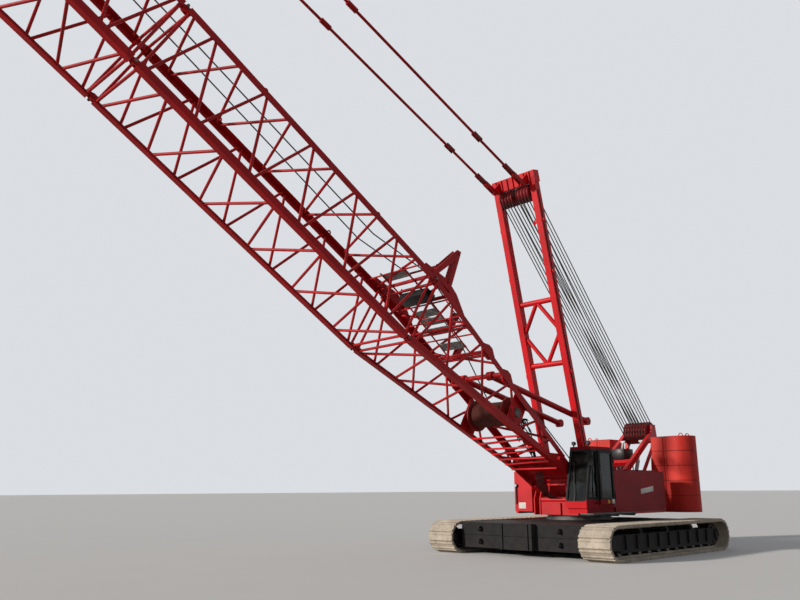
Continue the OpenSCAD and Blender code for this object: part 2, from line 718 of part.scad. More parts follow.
mast_low_cross = mast_l * 0.39;
mast_up_cross = mast_l * 0.59;
mast_head_low = mast_l - mast_head_h;
mast_sheave_z = mast_head_low - mast_sheave_r - 8;
mast_sheave_x = -20;
mast_sheave_half = 150;
mast_sheave_y = mast_sheave_half + 55;
mast_pin_r = 40;
mast_lug_r = 60;
mast_lug_bore = 26;
mast_lug_z = mast_l - mast_lug_drop;
mast_inner = mast_leg_y - mast_leg_w / 2;
mast_outer = mast_leg_y + mast_leg_w / 2;
mast_foot_r = ear_r - 6;
module mast_leg() {
    difference() {
        union() {
            block([-mast_leg_d / 2, mast_leg_d / 2], [mast_inner, mast_outer], [150, mast_l]);
            plate_y(foot_y - foot_lug_w / 2, foot_lug_w) {
                circle(mast_foot_r);
                polygon([[-mast_foot_r, 0], [mast_foot_r, 0], [mast_leg_d / 2 - 3, 340], [3 - mast_leg_d / 2, 340]]);
            }
        }
        pin_y(0, foot_y, 0, foot_pin_r + seat, foot_lug_w + 20);
    }
}
module mast() {
    head_x = [-100, 80];
    rib_x = head_x[1] + 32;
    mid = (mast_low_cross + mast_up_cross) / 2;
    collar = [mast_sheave_y + mast_sheave_half + side_gap, mast_inner + 5];
    on_mast() {
        both_sides() mast_leg();
        for (z = [mast_low_cross, mast_up_cross]) tube([0, -mast_inner - 10, z], [0, mast_inner + 10, z], 55);
        for (s = [-1, 1], d = [-1, 1])
            tube([0, 0, mid + d * (mid - mast_low_cross)], [0, s * (mast_inner + 8), mid + d * 60], 42);
        // Head: a box across both legs with a ribbed front
        block(head_x, [-mast_outer - 12, mast_outer + 12], [mast_head_low, mast_l + 12]);
        for (i = [-3:3])
            block([head_x[1] - 10, rib_x], [i * 140 - 10, i * 140 + 10], [mast_head_low - 24, mast_l]);
        both_sides() {
            plate_y(pendant_y - tongue_t / 2, tongue_t) difference() {
                union() {
                    polygon([[head_x[1] - 10, mast_l - 10], [head_x[1] - 10, mast_head_low + 6],
                             [mast_lug_x - 20, mast_lug_z - mast_lug_r + 2],
                             [mast_lug_x + 30, mast_lug_z + mast_lug_r - 10]]);
                    translate([mast_lug_x, mast_lug_z]) circle(mast_lug_r);
                }
                translate([mast_lug_x, mast_lug_z]) circle(mast_lug_bore);
            }
            pin_y(mast_sheave_x, (collar[0] + collar[1]) / 2, mast_sheave_z, 70, collar[1] - collar[0]);
        }
        pin_y(mast_sheave_x, 0, mast_sheave_z, mast_pin_r, 2 * mast_inner + 10);
    }
}
module mast_sheaves() {
    on_mast() both_sides() translate([0, mast_sheave_y, 0])
        sheave_set(mast_sheave_x, mast_sheave_z, mast_sheave_r, 4, mast_sheave_half, mast_pin_r + seat);
}

// Boom, in its own frame

// Half width, underside and top of the boom at s: values at the two ends of a section
function mix(a, b, t) = a + (b - a) * t;
function corner(i, hw, lo, hi) = [(i == 0 || i == 3) ? hw : -hw, i < 2 ? hi : lo];
// One chord angle with its corner outward, from s0 to s1
module chord(i, s0, s1, c0, c1) {
    sy = (i == 0 || i == 3) ? 1 : -1;
    sz = i < 2 ? 1 : -1;
    p = [s0, c0[0], c0[1]];
    q = [s1, c1[0], c1[1]];
    along(p, q) linear_extrude(norm(q - p)) polygon([
        [0, 0], [sz * chord_f, 0], [sz * chord_f, -sy * chord_t], [sz * chord_t, -sy * chord_t],
        [sz * chord_t, -sy * chord_f], [0, -sy * chord_f]]);
}
lace_off = chord_t + lacing_d / 2 - 3;
lace_in = chord_f * 0.55;
// Centre of a lacing end on chord i for the face f
function lace_point(i, f, s, hw, lo, hi) =
    let (sy = (i == 0 || i == 3) ? 1 : -1, sz = i < 2 ? 1 : -1, flat = f % 2 == 0,
         dy = flat ? lace_in : lace_off, dz = flat ? lace_off : lace_in,
         c = corner(i, hw, lo, hi))
    [s, c[0] - sy * dy, c[1] - sz * dz];
// Lattice between s0 and s1: half widths, undersides and tops at the two ends.
// Each chord carries the nodes of its two faces in turn, half a bay apart.
module lattice(s0, s1, hw, lo, hi, bays,
               a0 = chord_back, a1 = chord_back, open_bays = []) {
    function at_t(s) = (s - s0) / (s1 - s0);
    function w_at(s) = mix(hw[0], hw[1], at_t(s));
    function lo_at(s) = mix(lo[0], lo[1], at_t(s));
    function hi_at(s) = mix(hi[0], hi[1], at_t(s));
    function end_point(i, f, s) = lace_point(i, f, s, w_at(s), lo_at(s), hi_at(s));
    strut_0 = s0 + a0 + strut_in;
    strut_1 = s1 - a1 - strut_in;
    room = lacing_d + node_gap;
    pitch = (s1 - s0 - 2 * end_in) / bays;
    function node_s(j, side) =
        max(strut_0 + room, min(strut_1 - room, s0 + end_in + j * pitch + side * node_gap));
    for (i = [0:3])
        chord(i, s0 + a0, s1 - a1, corner(i, w_at(s0 + a0), lo_at(s0 + a0), hi_at(s0 + a0)),
              corner(i, w_at(s1 - a1), lo_at(s1 - a1), hi_at(s1 - a1)));
    for (f = [0:3]) {
        for (j = [0:bays - 1]) if (f % 2 == 1 || len(search(j, open_bays)) == 0) {
            i0 = j % 2 == 0 ? (f + 1) % 4 : f;
            i1 = j % 2 == 0 ? f : (f + 1) % 4;
            tube(end_point(i0, f, node_s(j, 1)), end_point(i1, f, node_s(j + 1, -1)), lacing_d / 2);
        }
        for (s = [strut_0, strut_1])
            tube(end_point(f, f, s), end_point((f + 1) % 4, f, s), lacing_d / 2);
    }
}
// Section lugs at s on all four chords; dir +1 points up the boom
module lugs(s, hw, lo, hi, fork) {
    dir = fork ? 1 : -1;
    for (i = [0:3]) {
        sy = (i == 0 || i == 3) ? 1 : -1;
        sz = i < 2 ? 1 : -1;
        c = corner(i, hw, lo, hi);
        y = c[0] - sy * lug_in;
        z = c[1] - sz * lug_drop;
        ys = fork ? [-tongue_t / 2 - side_gap - fork_t, tongue_t / 2 + side_gap] : [-tongue_t / 2];
        t = fork ? fork_t : tongue_t;
        for (o = ys)
            plate_y(y + o, t) difference() {
                union() {
                    translate([s, z]) circle(joint_lug_r);
                    translate([dir > 0 ? s - lug_len : s, z - joint_lug_r]) square([lug_len, 2 * joint_lug_r]);
                }
                if (!fork) translate([s, z]) circle(joint_pin_r + seat);
            }
        if (fork) pin_y(s, y, z, joint_pin_r, tongue_t + 2 * side_gap + 2 * fork_t + 16);
    }
}
module section(s, l, bays) {
    on_boom() translate([s, 0, 0]) {
        lattice(0, l, [half_w, half_w], [low_z, low_z], [top_z, top_z], bays);
        lugs(0, half_w, low_z, top_z, false);
        lugs(l, half_w, low_z, top_z, true);
        // Lifting eyes on the top chords
        both_sides() for (x = [l * 0.27, l * 0.73])
            plate_y(half_w - 75, 16) difference() {
                union() {
                    translate([x - 40, top_z - 2]) square([80, 36]);
                    translate([x, top_z + 34]) circle(40);
                }
                translate([x, top_z + 34]) circle(18);
            }
    }
}
butt_foot = 950;
foot_half_w = foot_y + foot_lug_w / 2;
foot_rise = 60;
butt_drum_s = 2470;
butt_drum_z = 75;
butt_drum_r = 285;
drum_plate_in = 510;
stop_s = 3180;
gusset_s = [3060, 3700];
function butt_w(s) = mix(foot_half_w, half_w, s / butt_l);
function butt_low(s) = mix(0, low_z, s / butt_l);
function butt_top(s) = mix(foot_rise, top_z, s / butt_l);
module boom_butt() {
    s0 = butt_foot - 40;
    on_boom() {
        lattice(s0, section_1, [butt_w(s0), half_w], [butt_low(s0), low_z], [butt_top(s0), top_z],
                9, 0, chord_back, [2, 3, 4]);
        lugs(section_1, half_w, low_z, top_z, true);
        both_sides() {
            // Foot plate from the chords to the lug
            difference() {
                union() {
                    plate_y(foot_half_w - 36, 36) polygon([
                        [0, ear_r - 8], [0, -ear_r + 8],
                        [butt_foot + 60, butt_low(butt_foot + 60) + 9],
                        [butt_foot + 60, butt_top(butt_foot + 60) - 9]]);
                    plate_y(foot_y - foot_lug_w / 2, foot_lug_w) union() {
                        circle(ear_r - 8);
                        translate([0, -ear_r + 8]) square([260, 2 * ear_r - 16]);
                    }
                }
                pin_y(0, foot_y, 0, foot_pin_r + seat, foot_lug_w + 40);
            }
            // Bearing plate of the drum
            plate_y(drum_plate_in, 22) difference() {
                polygon([
                    [butt_drum_s - 190, butt_low(butt_drum_s - 190) + 9],
                    [butt_drum_s + 190, butt_low(butt_drum_s + 190) + 9],
                    [butt_drum_s + 190, butt_top(butt_drum_s + 190) - 9],
                    [butt_drum_s - 190, butt_top(butt_drum_s - 190) - 9]]);
                translate([butt_drum_s, butt_drum_z]) circle(60 + seat);
            }
        }
        for (s = [420, butt_foot]) tube([s, -foot_half_w + 10, 40], [s, foot_half_w - 10, 40], 60);
        // Gussets on the top chords at the boom stops and the first pendant lug
        both_sides() for (g = gusset_s)
            plate_y(butt_w(g) - 40, 24) polygon([
                [g - 210, butt_top(g - 210) - 7], [g - 60, butt_top(g) + 95], [g + 40, butt_top(g) + 105],
                [g + 230, butt_top(g + 230) - 7], [g + 60, butt_top(g) - 150], [g - 60, butt_top(g) - 150]]);
        // Cross tube that carries the boom stops
        tube([stop_s, -butt_w(stop_s) + 40, butt_top(stop_s) - chord_t - 42],
             [stop_s, butt_w(stop_s) - 40, butt_top(stop_s) - chord_t - 42], 44);
    }
}
nose_s = top_l - 240;
tip_depth = 560;
point_s = boom_l;
point_z = low_z + 260;
module boom_top() {
    hw1 = tip_w / 2;
    on_boom() translate([section_5, 0, 0]) {
        lattice(0, nose_s, [half_w, hw1], [low_z, top_z - tip_depth], [top_z, top_z], 7, chord_back, 0);
        lugs(0, half_w, low_z, top_z, false);
        // Nose plates hang the point sheaves ahead of and below the tip
        both_sides() for (y = [point_in, hw1 - 50])
            plate_y(y, 36) difference() {
                union() {
                    polygon([[nose_s - 480, top_z - 7], [nose_s + 60, top_z - 7], [top_l + 70, point_z + 60],
                        [top_l + 20, point_z - 90], [top_l - 90, point_z - 20],
                        [nose_s - 100, top_z - tip_depth - 10], [nose_s - 480, top_z - tip_depth - 60]]);
                    translate([top_l, point_z]) circle(92);
                }
                translate([nose_s - 200, top_z - 280]) circle(110);
            }
        pin_y(top_l, 0, point_z, 40, tip_w - 20);
        for (c = [[nose_s - 420, top_z - 90], [nose_s - 20, top_z - 90], [nose_s - 400, top_z - 470]])
            tube([c[0], -hw1 + 30, c[1]], [c[0], hw1 - 30, c[1]], 34);
        // Lugs for the pendants
        both_sides() plate_y(pendant_tip_y - tongue_t / 2, tongue_t) difference() {
            union() {
                translate([pendant_tip_s - section_5 - 90, top_z - 7]) square([180, 73]);
                translate([pendant_tip_s - section_5, pendant_tip_z]) circle(60);
            }
            translate([pendant_tip_s - section_5, pendant_tip_z]) circle(joint_pin_r + seat);
        }
    }
}
point_in = 60;
point_half = (tip_w / 2 - 50 - point_in - 36) / 2 - side_gap;
point_y = point_in + 36 + side_gap + point_half;
point_n = 3;
module point_sheaves() {
    on_boom() both_sides() translate([0, point_y, 0])
        sheave_set(point_s, point_z, point_r, point_n, point_half, 40 + seat);
}
module butt_drum() {
    on_boom() winch(butt_drum_s, butt_drum_z, 400, 200, butt_drum_r, drum_plate_in + 22);
}
guide_s = [butt_l - 965, butt_l + 285];
module rope_guide() {
    plate = 24;
    arm_t = 20;
    arm_y = [half_w - 160, half_w - 50];
    arm_top = [butt_l - 235, top_z + 785];
    arm_low = [butt_l - 335, top_z + 85];
    arm_foot = [butt_l + 55, top_z + 85];
    on_boom() {
        // Plates standing on the top chords
        both_sides() plate_y(half_w - 75, plate) polygon([
            [guide_s[0], butt_top(guide_s[0])], [butt_l - 565, top_z + 115], [butt_l - 265, top_z + 190],
            [butt_l + 85, top_z + 125], [guide_s[1], top_z + 90], [guide_s[1], top_z], [butt_l, top_z]]);
        // Cross tubes between them
        for (x = [butt_l - 515, butt_l + 5])
            tube([x, -half_w + 70, top_z + 75], [x, half_w - 70, top_z + 75], 32);
        // Two-plate arm with the guide sheave on the left side
        for (y = arm_y) plate_y(y, arm_t) difference() {
            polygon([
                [arm_foot.x + 60, arm_foot.y - 70], [arm_foot.x - 60, arm_foot.y - 70],
                [arm_low.x + 60, arm_low.y - 70], [arm_low.x - 60, arm_low.y - 70],
                [arm_top.x - 50, arm_top.y - 60], [arm_top.x - 30, arm_top.y + 50],
                [arm_top.x + 60, arm_top.y + 20]]);
            polygon([[arm_foot.x - 75, arm_foot.y + 30], [arm_low.x + 45, arm_low.y + 30],
                [arm_top.x + 10, arm_top.y - 190]]);
        }
        pin_y(arm_top.x, (arm_y[0] + arm_y[1] + arm_t) / 2, arm_top.y - 20, 26, arm_y[1] - arm_y[0] + arm_t + 20);
        block([arm_low.x - 40, arm_foot.x + 40], [arm_y[0] - 1, arm_y[1] + arm_t + 1], [arm_low.y - 60, arm_low.y - 40]);
    }
}
module boom_stops() {
    z0 = butt_top(stop_s) - chord_t - 42;
    on_boom() both_sides() difference() {
        union() {
            tube([stop_s, stop_y, z0], [stop_end_s, stop_y, stop_end_z], 56);
            pin_y(stop_s, stop_y, z0, 80, 120);
            pin_y(stop_end_s, stop_y, stop_end_z, 80, 110);
        }
        pin_y(stop_s, stop_y, z0, 44 + seat, 160);
    }
}
stop_y = 325;
stop_end_s = 275;
stop_end_z = 1405;
// Pendants from the mast head to the boom tip
pendant_tip_s = boom_l - 500;
pendant_tip_z = top_z + 60;
pendant_tip_y = tip_w / 2 - 30;
function mast_point(x, z) =
    [mast_foot_x + x * cos(mast_lean) + z * sin(mast_lean), mast_foot_z - x * sin(mast_lean) + z * cos(mast_lean)];
function to_boom(p) =
    let (d = p - [boom_foot_x, boom_foot_z])
    [d.x * cos(boom_elev) + d.y * sin(boom_elev), -d.x * sin(boom_elev) + d.y * cos(boom_elev)];
mast_eye = to_boom(mast_point(mast_lug_x, mast_lug_z));
pendant_r = 26;
pendant_gap = 7;
// Two cheek plates either side of the line from p to q
module pendant_link(p, q) {
    for (s = [-1, 1]) translate([0, s * (tongue_t / 2 + pendant_gap + 10), 0]) {
        bar(p, q, 20, 88);
        pin_y(p.x, p.y, p.z, 46, 22);
    }
}
module pendants() {
    low = [mast_eye.x, pendant_y, mast_eye.y];
    high = [pendant_tip_s, pendant_tip_y, pendant_tip_z];
    v = (high - low) / norm(high - low);
    head = 300;
    on_boom() both_sides() {
        tube(low + v * (head - 60), high - v * (head - 60), pendant_r);
        for (e = [[low, v], [high, -v]]) {
            pendant_link(e[0], e[0] + e[1] * head);
            along(e[0] + e[1] * (head - 90), e[0] + e[1] * head)
                translate([-46, -tongue_t / 2 - pendant_gap - 15, 0]) cube([92, tongue_t + 2 * pendant_gap + 30, 120]);
        }
        pin_y(high.x, high.y, high.z, joint_pin_r, tongue_t + 2 * pendant_gap + 50);
        // Connectors between the pendant bars
        for (k = [1:4]) {
            c = low + v * (norm(high - low) * k / 5);
            tube(c - v * 110, c + v * 110, pendant_r + 22);
        }
    }
}
// Hook, hanging plumb below the point sheaves
tip = [boom_foot_x + point_s * cos(boom_elev) - point_z * sin(boom_elev),
       boom_foot_z + point_s * sin(boom_elev) + point_z * cos(boom_elev)];
hook_z = tip[1] - falls_l;
fall_x = point_r - groove_d + rope_r + seat;
hook_pin_r = 36;
module load_falls() {
    for (x = [-1, 1], y = [-1, 1])
        translate([tip[0] + x * fall_x, y * point_y, hook_z]) cylinder(r = rope_r, h = falls_l, $fn = 24);
}
module hook_block() {
    cheek = 24;
    out_y = point_y + 54;
    translate([tip[0], 0, hook_z]) {
        for (y = [-out_y, -point_y + 40, point_y - 40 - cheek, out_y - cheek])
            plate_y(y, cheek) polygon([[-150, 120], [150, 120], [230, 0], [150, -275], [-150, -275], [-230, 0]]);
        pin_y(0, 0, 0, hook_pin_r, 2 * out_y);
        block([-70, 70], [-out_y, out_y], [-275, -215]);
        // Shank and hook
        translate([0, 0, -360]) cylinder(r = 46, h = 100);
        translate([0, 0, -450]) rotate([90, 0, 0]) rotate([0, 0, 150])
            rotate_extrude(angle = 290) translate([95, 0]) circle(34);
    }
}
module hook_sheaves() {
    for (s = [-1, 1]) translate([tip[0], s * point_y + 27, hook_z]) rotate([90, 0, 0]) rotate_extrude()
        polygon([[hook_pin_r + seat, 0], [point_r, 0], [point_r, 6], [point_r - groove_d, 27 - rope_r - 1],
                 [point_r - groove_d, 27 + rope_r + 1], [point_r, 48], [point_r, 54], [hook_pin_r + seat, 54]]);
}

// Assembly

module left_crawler() translate([0, crawler_y, 0]) children();
module right_crawler() mirror([0, 1, 0]) translate([0, crawler_y, 0]) children();

color(black) carbody();
color(steel) slew_ring();
color(black) carbody_weight();  // carbody_weight_front
color(black) mirror([1, 0, 0]) carbody_weight();  // carbody_weight_rear
color(black) left_crawler() crawler_frame();  // crawler_frame_left
color(black) right_crawler() crawler_frame();  // crawler_frame_right
color(steel) left_crawler() wheels();  // wheels_left
color(steel) right_crawler() wheels();  // wheels_right
color(dusty) left_crawler() track();  // track_left
color(dusty) right_crawler() track();  // track_right
color(red) bed();
color(red) house_left();
color(red) house_right();
color(steel) drum_front();
color(steel) drum_rear();
color(steel) drum_boom_hoist();
color(black) walkway_left();
color(red) gantry();
color(black) gantry_sheaves();
color(red) counterweight_tray();
color(red) counterweight_stack();  // counterweight_left
color(red) mirror([0, 1, 0]) counterweight_stack();  // counterweight_right
color(red) cab_shell();
color([0.1, 0.12, 0.12]) cab_glass();
color(black) cab_seat();
color(black) cab_door();
color([0.1, 0.12, 0.12]) cab_door_glass();
color(red) mast();
color(red) mast_sheaves();
color(red) boom_butt();
color(red) section(section_1, insert_l, insert_bays);  // boom_insert_1
color(red) section(section_2, insert_l, insert_bays);  // boom_insert_2
color(red) section(section_3, insert_l, insert_bays);  // boom_insert_3
color(red) section(section_4, short_l, 5);  // boom_insert_short
color(red) boom_top();
color(steel) point_sheaves();
color(red) butt_drum();
color(red) rope_guide();
color(red) boom_stops();
color(red) pendants();
color(black) load_falls();
color(red) hook_block();
color(steel) hook_sheaves();
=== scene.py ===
import json
import math
import bmesh
import bpy
from mathutils import Matrix, Vector


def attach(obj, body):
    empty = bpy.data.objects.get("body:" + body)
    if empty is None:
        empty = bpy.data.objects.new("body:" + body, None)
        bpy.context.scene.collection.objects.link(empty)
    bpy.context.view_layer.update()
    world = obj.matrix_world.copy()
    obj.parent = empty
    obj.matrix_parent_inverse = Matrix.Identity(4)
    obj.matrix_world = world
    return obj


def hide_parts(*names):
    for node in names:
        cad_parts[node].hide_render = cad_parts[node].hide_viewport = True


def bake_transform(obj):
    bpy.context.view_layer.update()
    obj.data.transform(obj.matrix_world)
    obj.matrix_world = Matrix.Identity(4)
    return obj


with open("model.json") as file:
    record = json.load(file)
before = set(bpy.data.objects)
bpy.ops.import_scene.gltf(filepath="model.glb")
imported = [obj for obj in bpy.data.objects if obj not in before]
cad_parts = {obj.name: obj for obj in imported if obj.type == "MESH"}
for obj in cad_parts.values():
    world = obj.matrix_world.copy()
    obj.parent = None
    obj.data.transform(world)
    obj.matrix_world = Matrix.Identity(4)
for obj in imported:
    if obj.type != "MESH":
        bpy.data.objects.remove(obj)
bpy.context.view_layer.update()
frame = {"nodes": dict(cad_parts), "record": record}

nodes = frame["nodes"]

# Places and sizes, in metres. The origin is on the ground at the slewing axis, with X forward and
# Y to the left, where the cab is.
BOOM_FOOT, BOOM_ANGLE = Vector((0.529, 0, 1.184)), math.radians(31.16)
MAST_FOOT, MAST_LEAN = Vector((0.25, 0, 1.213)), math.radians(12.8)
BOOM_FRAME = Matrix.Translation(BOOM_FOOT) @ Matrix.Rotation(-BOOM_ANGLE, 4, "Y")
MAST_FRAME = Matrix.Translation(MAST_FOOT) @ Matrix.Rotation(MAST_LEAN, 4, "Y")
BUTT, INSERT, SHORT_INSERT, TOP = 5.415, 5.525, 2.765, 4.245  # lengths of the boom's sections
BOOM_LENGTH = BUTT + 3 * INSERT + SHORT_INSERT + TOP
LATTICE_Z, DEPTH, HALF_WIDTH = 0.053, 1.325, 0.675  # the lattice's middle, depth and half width
UPPER_Z, LOWER_Z = LATTICE_Z + DEPTH / 2, LATTICE_Z - DEPTH / 2
FOOT_HALF_WIDTH, FOOT_UPPER_Z = 0.55, 0.06  # of the butt, at its foot
MAST_LENGTH, HEAD_HEIGHT = 6.395, 0.225
LEG_Y, LEG_HALF = 0.455, 0.065  # the mast's legs
GANTRY, GANTRY_SHEAVE_R, GANTRY_SET_HALF = (-2.655, 2.425), 0.24, 0.273
MAST_SHEAVE_R, MAST_SET_Y, MAST_SET_HALF = 0.175, 0.205, 0.15
GROOVE, ROPE_R = 0.026, 0.011
FRONT_DRUM, REAR_DRUM, HOIST_DRUM = (-0.33, 1.04), (-0.86, 1.04), (-1.56, 1.0)  # axles, (x, z)
BUTT_DRUM = (2.47, 0.075)  # its axle, in the boom's frame
LOAD_DRUM_R, HOIST_DRUM_R, BUTT_DRUM_R = 0.19, 0.15, 0.2
DRUM_HALF, BUTT_DRUM_HALF = 0.22, 0.36
SIDE_Y, DOOR_Y, FRONT_X = 1.045, 1.086, 0.704  # outer faces of house, cab door and front box
SIDES = (-1, 1)


def on_boom(along, y, z):
    """A point of the boom's frame: along it from its foot pin, and above that pin."""
    return BOOM_FRAME @ Vector((along, y, z))


def on_mast(x, y, along):
    """A point of the mast's frame: along it from its foot pin."""
    return MAST_FRAME @ Vector((x, y, along))


def butt_half(along):
    return FOOT_HALF_WIDTH + (HALF_WIDTH - FOOT_HALF_WIDTH) * along / BUTT


def butt_upper(along):
    return FOOT_UPPER_Z + (UPPER_Z - FOOT_UPPER_Z) * along / BUTT


def butt_lower(along):
    return -FOOT_UPPER_Z + (LOWER_Z + FOOT_UPPER_Z) * along / BUTT


# Finishes
class Value:
    """A number or colour that a node gives out, with plain arithmetic on it."""

    def __init__(self, net, socket):
        self.net, self.socket = net, socket

    def math(self, kind, other=None):
        return self.net.add("ShaderNodeMath", [self, other], operation=kind)

    def __add__(self, other):
        return self.math("ADD", other)

    def __sub__(self, other):
        return self.math("SUBTRACT", other)

    def __mul__(self, other):
        return self.math("MULTIPLY", other)

    def __rsub__(self, other):
        return self.net.add("ShaderNodeMath", [other, self], operation="SUBTRACT")

    __radd__, __rmul__ = __add__, __mul__

    def step(self, low, high, least=0.0, most=1.0):
        """least below low, most above high, and straight between."""
        return self.net.add("ShaderNodeMapRange", [self, low, high, least, most], out="Result")


class Net:
    """A node tree in which one method adds every node."""

    def __init__(self, tree):
        self.tree = tree

    def add(self, kind, sockets=(), out=0, **settings):
        """A node: its settings first, then the values or links of its sockets."""
        node = self.tree.nodes.new(kind)
        for key, value in settings.items():
            setattr(node, key, value)
        for key, value in sockets.items() if isinstance(sockets, dict) else enumerate(sockets):
            self.feed(node.inputs[key], value)
        return Value(self, node.outputs[out])

    def feed(self, socket, value):
        if isinstance(value, Value):
            self.tree.links.new(value.socket, socket)
        elif value is not None:
            socket.default_value = (*value, 1.0) if socket.type == "RGBA" else value

    def seen_plainly(self):
        """1 for rays of the camera and those that metal and glass send on, 0 for the rest."""
        kinds = ("Is Camera Ray", "Is Glossy Ray", "Is Transmission Ray")
        camera, glossy, through = (self.add("ShaderNodeLightPath", out=kind) for kind in kinds)
        return camera.math("MAXIMUM", glossy).math("MAXIMUM", through)


class Finish(Net):
    """One material: its Principled shader, and the nodes that feed it."""

    def __init__(self, name, color, roughness, metallic=0.0, coat=0.0, **fixed):
        self.mat = bpy.data.materials.new(name)
        self.mat.use_nodes = True
        super().__init__(self.mat.node_tree)
        self.shader = self.tree.nodes["Principled BSDF"]
        self.set(Base_Color=color, Roughness=roughness, Metallic=metallic, Coat_Weight=coat,
                 **fixed)
        self.place = self.add("ShaderNodeTexCoord", out="Object")

    def set(self, **values):
        for name, value in values.items():
            self.feed(self.shader.inputs[name.replace("_", " ")], value)

    def noise(self, scale, detail=3.0, stretch=(1, 1, 1)):
        place = self.add("ShaderNodeMapping", {"Vector": self.place, "Scale": stretch})
        return self.add("ShaderNodeTexNoise", {"Vector": place, "Scale": scale, "Detail": detail,
                                               "Roughness": 0.55})

    def patches(self, scale, detail, low=0.35, high=0.7):
        return self.noise(scale, detail).step(low, high)

    def axis(self, name):
        return self.add("ShaderNodeSeparateXYZ", [self.place], out=name)

    def upward(self):
        """1 where the surface faces up, 0 where it is upright or faces down."""
        normal = self.add("ShaderNodeNewGeometry", out="Normal")
        return self.add("ShaderNodeSeparateXYZ", [normal], out="Z").step(0.2, 0.95)

    def mix(self, amount, a, b):
        return self.add("ShaderNodeMix", {0: amount, 6: a, 7: b}, out=2, data_type="RGBA")

    def bump(self, height, strength, distance):
        self.set(Normal=self.add("ShaderNodeBump", {"Strength": strength, "Distance": distance,
                                                    "Height": height}))


DUST, SPECK, JOINT_SHADE = (0.40, 0.32, 0.24), (0.05, 0.032, 0.026), 0.12
# The second red is the first one darkened: painted shade for the house's side and the cab, which
# stand in shade.
SILL_RED, SHADED_RED = (0.62, 0.006, 0.012), (0.30, 0.004, 0.011)


def tone(color, k):
    return tuple(min(1.0, v * k) for v in color)


def paint(name, color, dust=0.35, low_dust=0.0, roughness=0.38, coat=0.08, grime=0.5,
          joints=None, gloss=0.25):
    """Enamel on steel with faded patches, streaks, grime and dry dust on what faces up."""
    f = Finish(name, color, roughness, coat=coat, Coat_Roughness=0.25, Specular_IOR_Level=gloss)
    base = f.mix(f.patches(1.7, 4.0), tone(color, 0.82), tone(color, 1.16))
    streaks = f.noise(5.0, 4.0, (3.0, 3.0, 0.45)).step(0.55, 0.85)
    base = f.mix(streaks * grime, base, tone(color, 0.38))
    base = f.mix(f.patches(42.0, 2.0, 0.66, 0.78) * (0.35 * grime), base, SPECK)
    if joints:  # dark lines between stacked slabs
        start, first, pitch = joints
        level = ((f.axis("Z") - first) * (1.0 / pitch)).math("FRACT")
        near = (1.0 - level.step(0.008, 0.022)) + level.step(0.978, 0.992)
        line = near * f.axis("Z").step(start, start + 0.05) * 0.85
        base = f.mix(line, base, tone(color, JOINT_SHADE))
    film = f.patches(9.0, 5.0, 0.3, 0.75)
    dusty = (f.upward() * film * dust) + (film * (0.12 * dust))
    if low_dust:
        dusty = dusty + (1.0 - f.axis("Z").step(0.05, 0.8)) * film * low_dust
    f.set(Base_Color=f.mix(dusty, base, DUST),
          Roughness=(f.noise(14.0) * 0.22) + (dusty * 0.3) + (roughness - 0.08))
    f.bump(f.noise(120.0, 2.0), 0.12, 0.0015)
    return f


def cab_paint():
    """Cab in red darkened as painted shade, plain red below the windscreen, black round the
    windows.
    """
    window_foot, window_head, window_back, sill_top, sill_back = 1.0, 1.905, 0.40, 0.966, 1.27
    f = Finish("cab_enamel_painted_shade", SHADED_RED, 0.35, Specular_IOR_Level=0.2)
    # Painted shade: the body takes the darkened red; only the front below the windscreen keeps the
    # plain red.
    body = f.mix(f.patches(3.0, 3.0), tone(SHADED_RED, 0.8), tone(SHADED_RED, 1.15))
    dark = f.mix(f.patches(3.0, 3.0), (0.006, 0.006, 0.007), (0.016, 0.016, 0.017))
    sill = f.mix(f.patches(2.0, 3.0, 0.3), tone(SILL_RED, 0.85), tone(SILL_RED, 1.15))
    height, ahead = f.axis("Z"), f.axis("X")
    edge = 0.004
    front = ahead.step(window_back, window_back + edge)
    above = height.step(window_head, window_head + edge)
    face = f.mix(height.step(window_foot, window_foot + edge) * (1.0 - above) * front, body, dark)
    low = 1.0 - height.step(sill_top, sill_top + edge)
    face = f.mix(low * ahead.step(sill_back, sill_back + 0.02), face, sill)
    dust = f.upward() * f.patches(11.0, 4.0, 0.35, 0.8) * 0.25
    f.set(Base_Color=f.mix(dust, face, DUST),
          Roughness=(f.noise(18.0) * 0.2) + (dust * 0.4) + (front * 0.25) + 0.30)
    f.bump(f.noise(140.0, 2.0), 0.1, 0.001)
    return f


def soil_steel():
    """Track shoes under dried soil, worn to the steel in places."""
    f = Finish("dusty_shoes", (0.42, 0.36, 0.29), 0.85)
    base = f.mix(f.patches(2.6, 4.0, 0.3, 0.72), (0.33, 0.285, 0.23), (0.62, 0.54, 0.44))
    base = f.mix(f.patches(16.0, 4.0, 0.52, 0.75) * 0.6, base, (0.17, 0.15, 0.13))
    crumb = f.noise(70.0)
    f.set(Base_Color=f.mix(crumb.step(0.55, 0.8) * 0.5, base, (0.70, 0.62, 0.52)),
          Roughness=(crumb * 0.2) + 0.72)
    f.bump((crumb * 0.6) + (f.noise(22.0) * 0.8), 0.5, 0.006)
    return f


def greased_steel():
    color, metallic = (0.10, 0.092, 0.085), 0.75
    f = Finish("greased_steel", color, 0.45, metallic)
    base = f.mix(f.patches(6.0, 4.0), tone(color, 0.55), tone(color, 1.5))
    rust = f.patches(19.0, 4.0, 0.58, 0.78)
    f.set(Base_Color=f.mix(rust * 0.45, base, (0.16, 0.07, 0.035)),
          Metallic=metallic - rust * 0.4, Roughness=(f.noise(24.0) * 0.3) + 0.3)
    f.bump(f.noise(90.0, 2.0), 0.15, 0.001)
    return f


def rope_steel():
    f = Finish("wire_rope", (0.07, 0.068, 0.066), 0.5, metallic=0.55)
    strand = f.noise(60.0, 2.0, (1.0, 6.0, 1.0))
    f.set(Base_Color=f.mix(strand.step(0.35, 0.65), (0.025, 0.025, 0.026), (0.15, 0.145, 0.14)),
          Roughness=(strand * 0.3) + 0.35)
    f.bump(strand, 0.4, 0.002)
    return f


